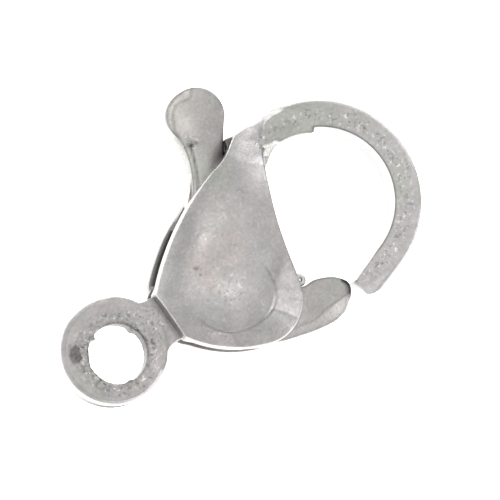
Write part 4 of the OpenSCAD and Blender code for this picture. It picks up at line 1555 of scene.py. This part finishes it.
def pad_face(points, gap):
    """The pad's height: rounded across, with the bevel, the seam and the pits"""
    flat = on_plane(points)
    rel = points - THUMB_C
    down = -(rel @ STEM_WAY)
    right = rel @ STEM_RIGHT
    z = 0.685 - 0.06 * smooth_step(down, 0.3, 2.2)
    # the face is a little rounded across, and left of the bevel line it falls to the left edge
    z -= 0.10 * np.clip(-right - 0.05, 0, 2) ** 2 + 0.09 * np.clip(right - 0.1, 0, 2) ** 2
    z -= 0.10 * np.maximum(side_distance(points, BEVEL), 0)
    z -= 0.02 * line_mark(points, BEVEL, 0.05)
    # right of the seam it falls to the right, and steeply into the slot
    off = -side_distance(points, SEAM)
    z -= 0.10 * np.clip(off - 0.1, 0, 2) ** 1.3 * smooth_step(down, -0.9, 0.9)
    z -= 0.16 * smooth_step(down, 0.9, 2.3) * smooth_step(right, 0.0, 0.7)
    z -= 0.03 * np.exp(-(np.abs(off) / 0.045) ** 2) * smooth_step(down, 0.35, 0.7)
    z -= 0.47 * np.clip(0.055 - gap, 0, 1)
    z -= 0.02 * bump_shape(flat, PIT_CLUSTER, (0.14, 0.24), 70) * (1 + lumps(flat, 0.11, 31, 4))
    return z - 0.004 * (1 + lumps(flat, 0.5, 23))


pad = plate("thumb_pad", pad_rim, [
    (0, turned_over(pad_face)), (0.01, turned_over(below(pad_face, 0.03))), (0.01, below(pad_face, 0.03))],
    turned_over(pad_face), pad_face, lever_steel)
combine(lever, [pad])

# %% [markdown]
# ## The bore and the spring pocket
# The rivet's hole goes through the hub, and a round pocket about it holds the spring's winding. Both are
# hidden in the photograph and follow clasps of this kind. The outline could have a hole, but the pocket
# goes only partly through. So two plain cylinders are cut out, as a drill would, and then the lever gets
# the same cast skin as the casting.

# %% Bore and spring pocket
bore_rim = np.array([PIVOT + polar(PIN_R + 0.03, a) for a in range(0, 360, 6)])
bore = plate("bore", bore_rim, [(0, -1.0)], -1.0, 1.0, lever_steel, 0.5, ())
pocket_rim = np.array([PIVOT + polar(0.71 * HUB_R, a) for a in range(0, 360, 5)])
pocket_floor = LEVER_HALF - 0.48
pocket = plate("pocket", pocket_rim, [(0, pocket_floor)], pocket_floor, 1.0, lever_steel, 0.5, ())
combine(lever, [bore, pocket], "DIFFERENCE")
lever.name = "lever_casting"
finish_skin(lever, 0.25, 0.008, 9, lever_steel)

# %% [markdown]
# ## Grime, painted light and grit on the lever
# Grime fills the seam. Shade is painted where the lever goes down between the cheeks and along its edges,
# and highlights on the bevel, the pad and the gate's lower bevel. One dirty material all over would hide
# that, so the lever is marked point by point as well.

# %% Grime, painted light and grit of the lever
def lever_grime_and_painted_light(points):
    """A dark seam and pits, painted shade along edges and between the cheeks, and painted highlights on the
    bevel, pad and gate
    """
    flat, z = points[:, :2], points[:, 2]
    front = z > 0.2
    grime_and_painted_light = 0.60 * front * line_mark(flat, SEAM[:5], 0.035)
    pitted = bump_shape(points, PIT_CLUSTER, (0.12, 0.24), 70) * (1 + lumps(points, 0.09, 31, 4))
    grime_and_painted_light += 0.60 * front * pitted
    # painted shade: dark lines along the bevel and round the pad's rim
    grime_and_painted_light += 0.30 * front * line_mark(flat, BEVEL, 0.035)
    grime_and_painted_light += 0.36 * (z > 0.4) * np.exp(-(distance(flat, pad_rim) / 0.04) ** 2)
    # painted highlights: the bevel band, the pad's left half and the gate's lower bevel
    band = smooth_step(side_distance(flat, BEVEL), 0.02, 0.10) * (z > 0.5)
    grime_and_painted_light -= 0.16 * band + 0.16 * front * bump_shape(points, (6.95, 5.35), (0.35, 0.65), 10)
    lower = smooth_step(-side_distance(flat, GATE_BEVEL), 0.0, 0.08)
    lower *= (flat[:, 0] > 5.8) * (flat[:, 1] < -2)
    grime_and_painted_light -= lower * (z > 0.15) * (0.10 + 0.34 * smooth_step(flat[:, 0], 6.6, 7.6))
    grime_and_painted_light += 0.22 * (z > 0.15) * line_mark(flat, GATE_BEVEL, 0.04)
    # painted shade: a dark line along the gate's upper edge and round its end, and a darker upper face
    rim_gap = distance(flat, plate_rim)
    gate = (flat[:, 0] > 6.6) * (flat[:, 1] < -1.5)
    upper = smooth_step(np.cross(polar(1, GATE_A), flat - PIVOT), 0.0, 0.25)
    grime_and_painted_light += (0.30 + 0.20 * upper) * gate * np.exp(-(rim_gap / 0.045) ** 2)
    grime_and_painted_light += 0.11 * gate * (side_distance(flat, GATE_BEVEL) > 0)
    reach, bearing_to = seen_from(points, PIVOT)
    turned = bearing_to - GATE_A
    end = smooth_step(turned, -11, -7) * smooth_step(turned, 4, 2) * smooth_step(reach / GATE_R, 0.90, 0.94)
    grime_and_painted_light += end * smooth_step(rim_gap, 0.20, 0.03)
    # painted shade where the lever goes down between the cheeks
    gap = distance(flat, cheek_rim)
    within = inside(flat, cheek_rim)
    near = (1 - within) * np.exp(-(gap / 0.30) ** 2) * smooth_step(flat[:, 1], 3.3, 3.7)
    near *= smooth_step((flat - THUMB_C) @ STEM_RIGHT, -0.3, 0.6)
    return grime_and_painted_light + 0.5 * within * smooth_step(gap, 0.25, 0.6) + 0.72 * near * (z > -0.5)


def lever_grit(points):
    """A few pits all over, and many in the cluster beside the seam"""
    return 0.14 + 0.9 * bump_shape(points, PIT_CLUSTER, (0.22, 0.36), 70)


set_marks(lever, lever_grime_and_painted_light, lever_grit)
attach(lever, "lever")
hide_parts("lever")

# %% [markdown]
# ## The spring
# A steel wire is wound round the rivet in a pocket of the lever. One leg leans on the neck, the other
# ends in a curl that shows at the root of the gate. The screw modifier would make the winding, but not the
# curl and the leg. Wire follows a path, so a tree sweeps a circle along all three.

# %% The spring's wire
wire_tree, size = sizes_tree("drawn wire", {"Wire Diameter": 0.2, "Sides": 12})
wire_path = add(wire_tree, "GeometryNodeMeshToCurve", {0: size["Geometry"]})
wire_radius = add(wire_tree, MATH, {0: size["Wire Diameter"], 1: 0.5}, operation="MULTIPLY")
round_section = add(wire_tree, "GeometryNodeCurvePrimitiveCircle", {
    "Resolution": size["Sides"], "Radius": wire_radius})
wire_mesh = add(wire_tree, "GeometryNodeCurveToMesh", {
    "Curve": wire_path, "Profile Curve": round_section, "Fill Caps": True})
end_tree(wire_tree, size, wire_mesh)

WIRE_R = 0.1
COIL_R = PIN_R + WIRE_R + 0.1
COIL_Z = LEVER_HALF - 0.03 - WIRE_R - 0.03
COIL_PITCH = 0.22
CURL_R = 0.25 - WIRE_R
CURL_TURN = 260
CURL_STEPS = 24
COIL_STEPS = 60
REST_A = 100
shelf_end = PIVOT + polar(0.78 * HUB_R, GATE_A - 10)
shelf_way = (shelf_end - gate_root) / np.linalg.norm(shelf_end - gate_root)
shelf_up = np.array([shelf_way[1], -shelf_way[0]])
curl_c = gate_root + 0.2 * shelf_way + 0.28 * shelf_up
reach_to_curl = float(np.linalg.norm(curl_c - PIVOT))
tail_a = bearing(curl_c - PIVOT) + math.degrees(math.acos((COIL_R - CURL_R) / reach_to_curl))
coil_turn = 360 + REST_A - tail_a
curl_points = [
    (*(curl_c + polar(CURL_R, tail_a - CURL_TURN * (1 - i / CURL_STEPS))), COIL_Z)
    for i in range(CURL_STEPS + 1)]
coil_points = [
    (*(PIVOT + polar(COIL_R, tail_a + coil_turn * i / COIL_STEPS)), COIL_Z - COIL_PITCH * i / COIL_STEPS)
    for i in range(COIL_STEPS + 1)]
leg_end = PIVOT + polar(COIL_R, REST_A) + polar(HUB_R + 0.13, REST_A + 90)
spring = path_object("spring_wire", curl_points + coil_points + [(*leg_end, COIL_Z - COIL_PITCH)])
run_tree(spring, wire_tree, {"Wire Diameter": 2 * WIRE_R * MM, "Sides": 14}, wire_steel)
shade_soft(spring, 50)
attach(spring, "lever")
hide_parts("spring")

# %% [markdown]
# ## The rivet
# The rivet lies hidden between the cheeks, and only its side could ever be seen through the slot. A new
# mesh would add nothing to a plain pin, so it keeps the mesh of the CAD model and only gets its steel.

# %% The rivet keeps its CAD mesh
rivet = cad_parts["pivot_pin"]
rivet.data.materials.clear()
rivet.data.materials.append(rivet_steel)
print("the rivet wears", rivet_steel.name)
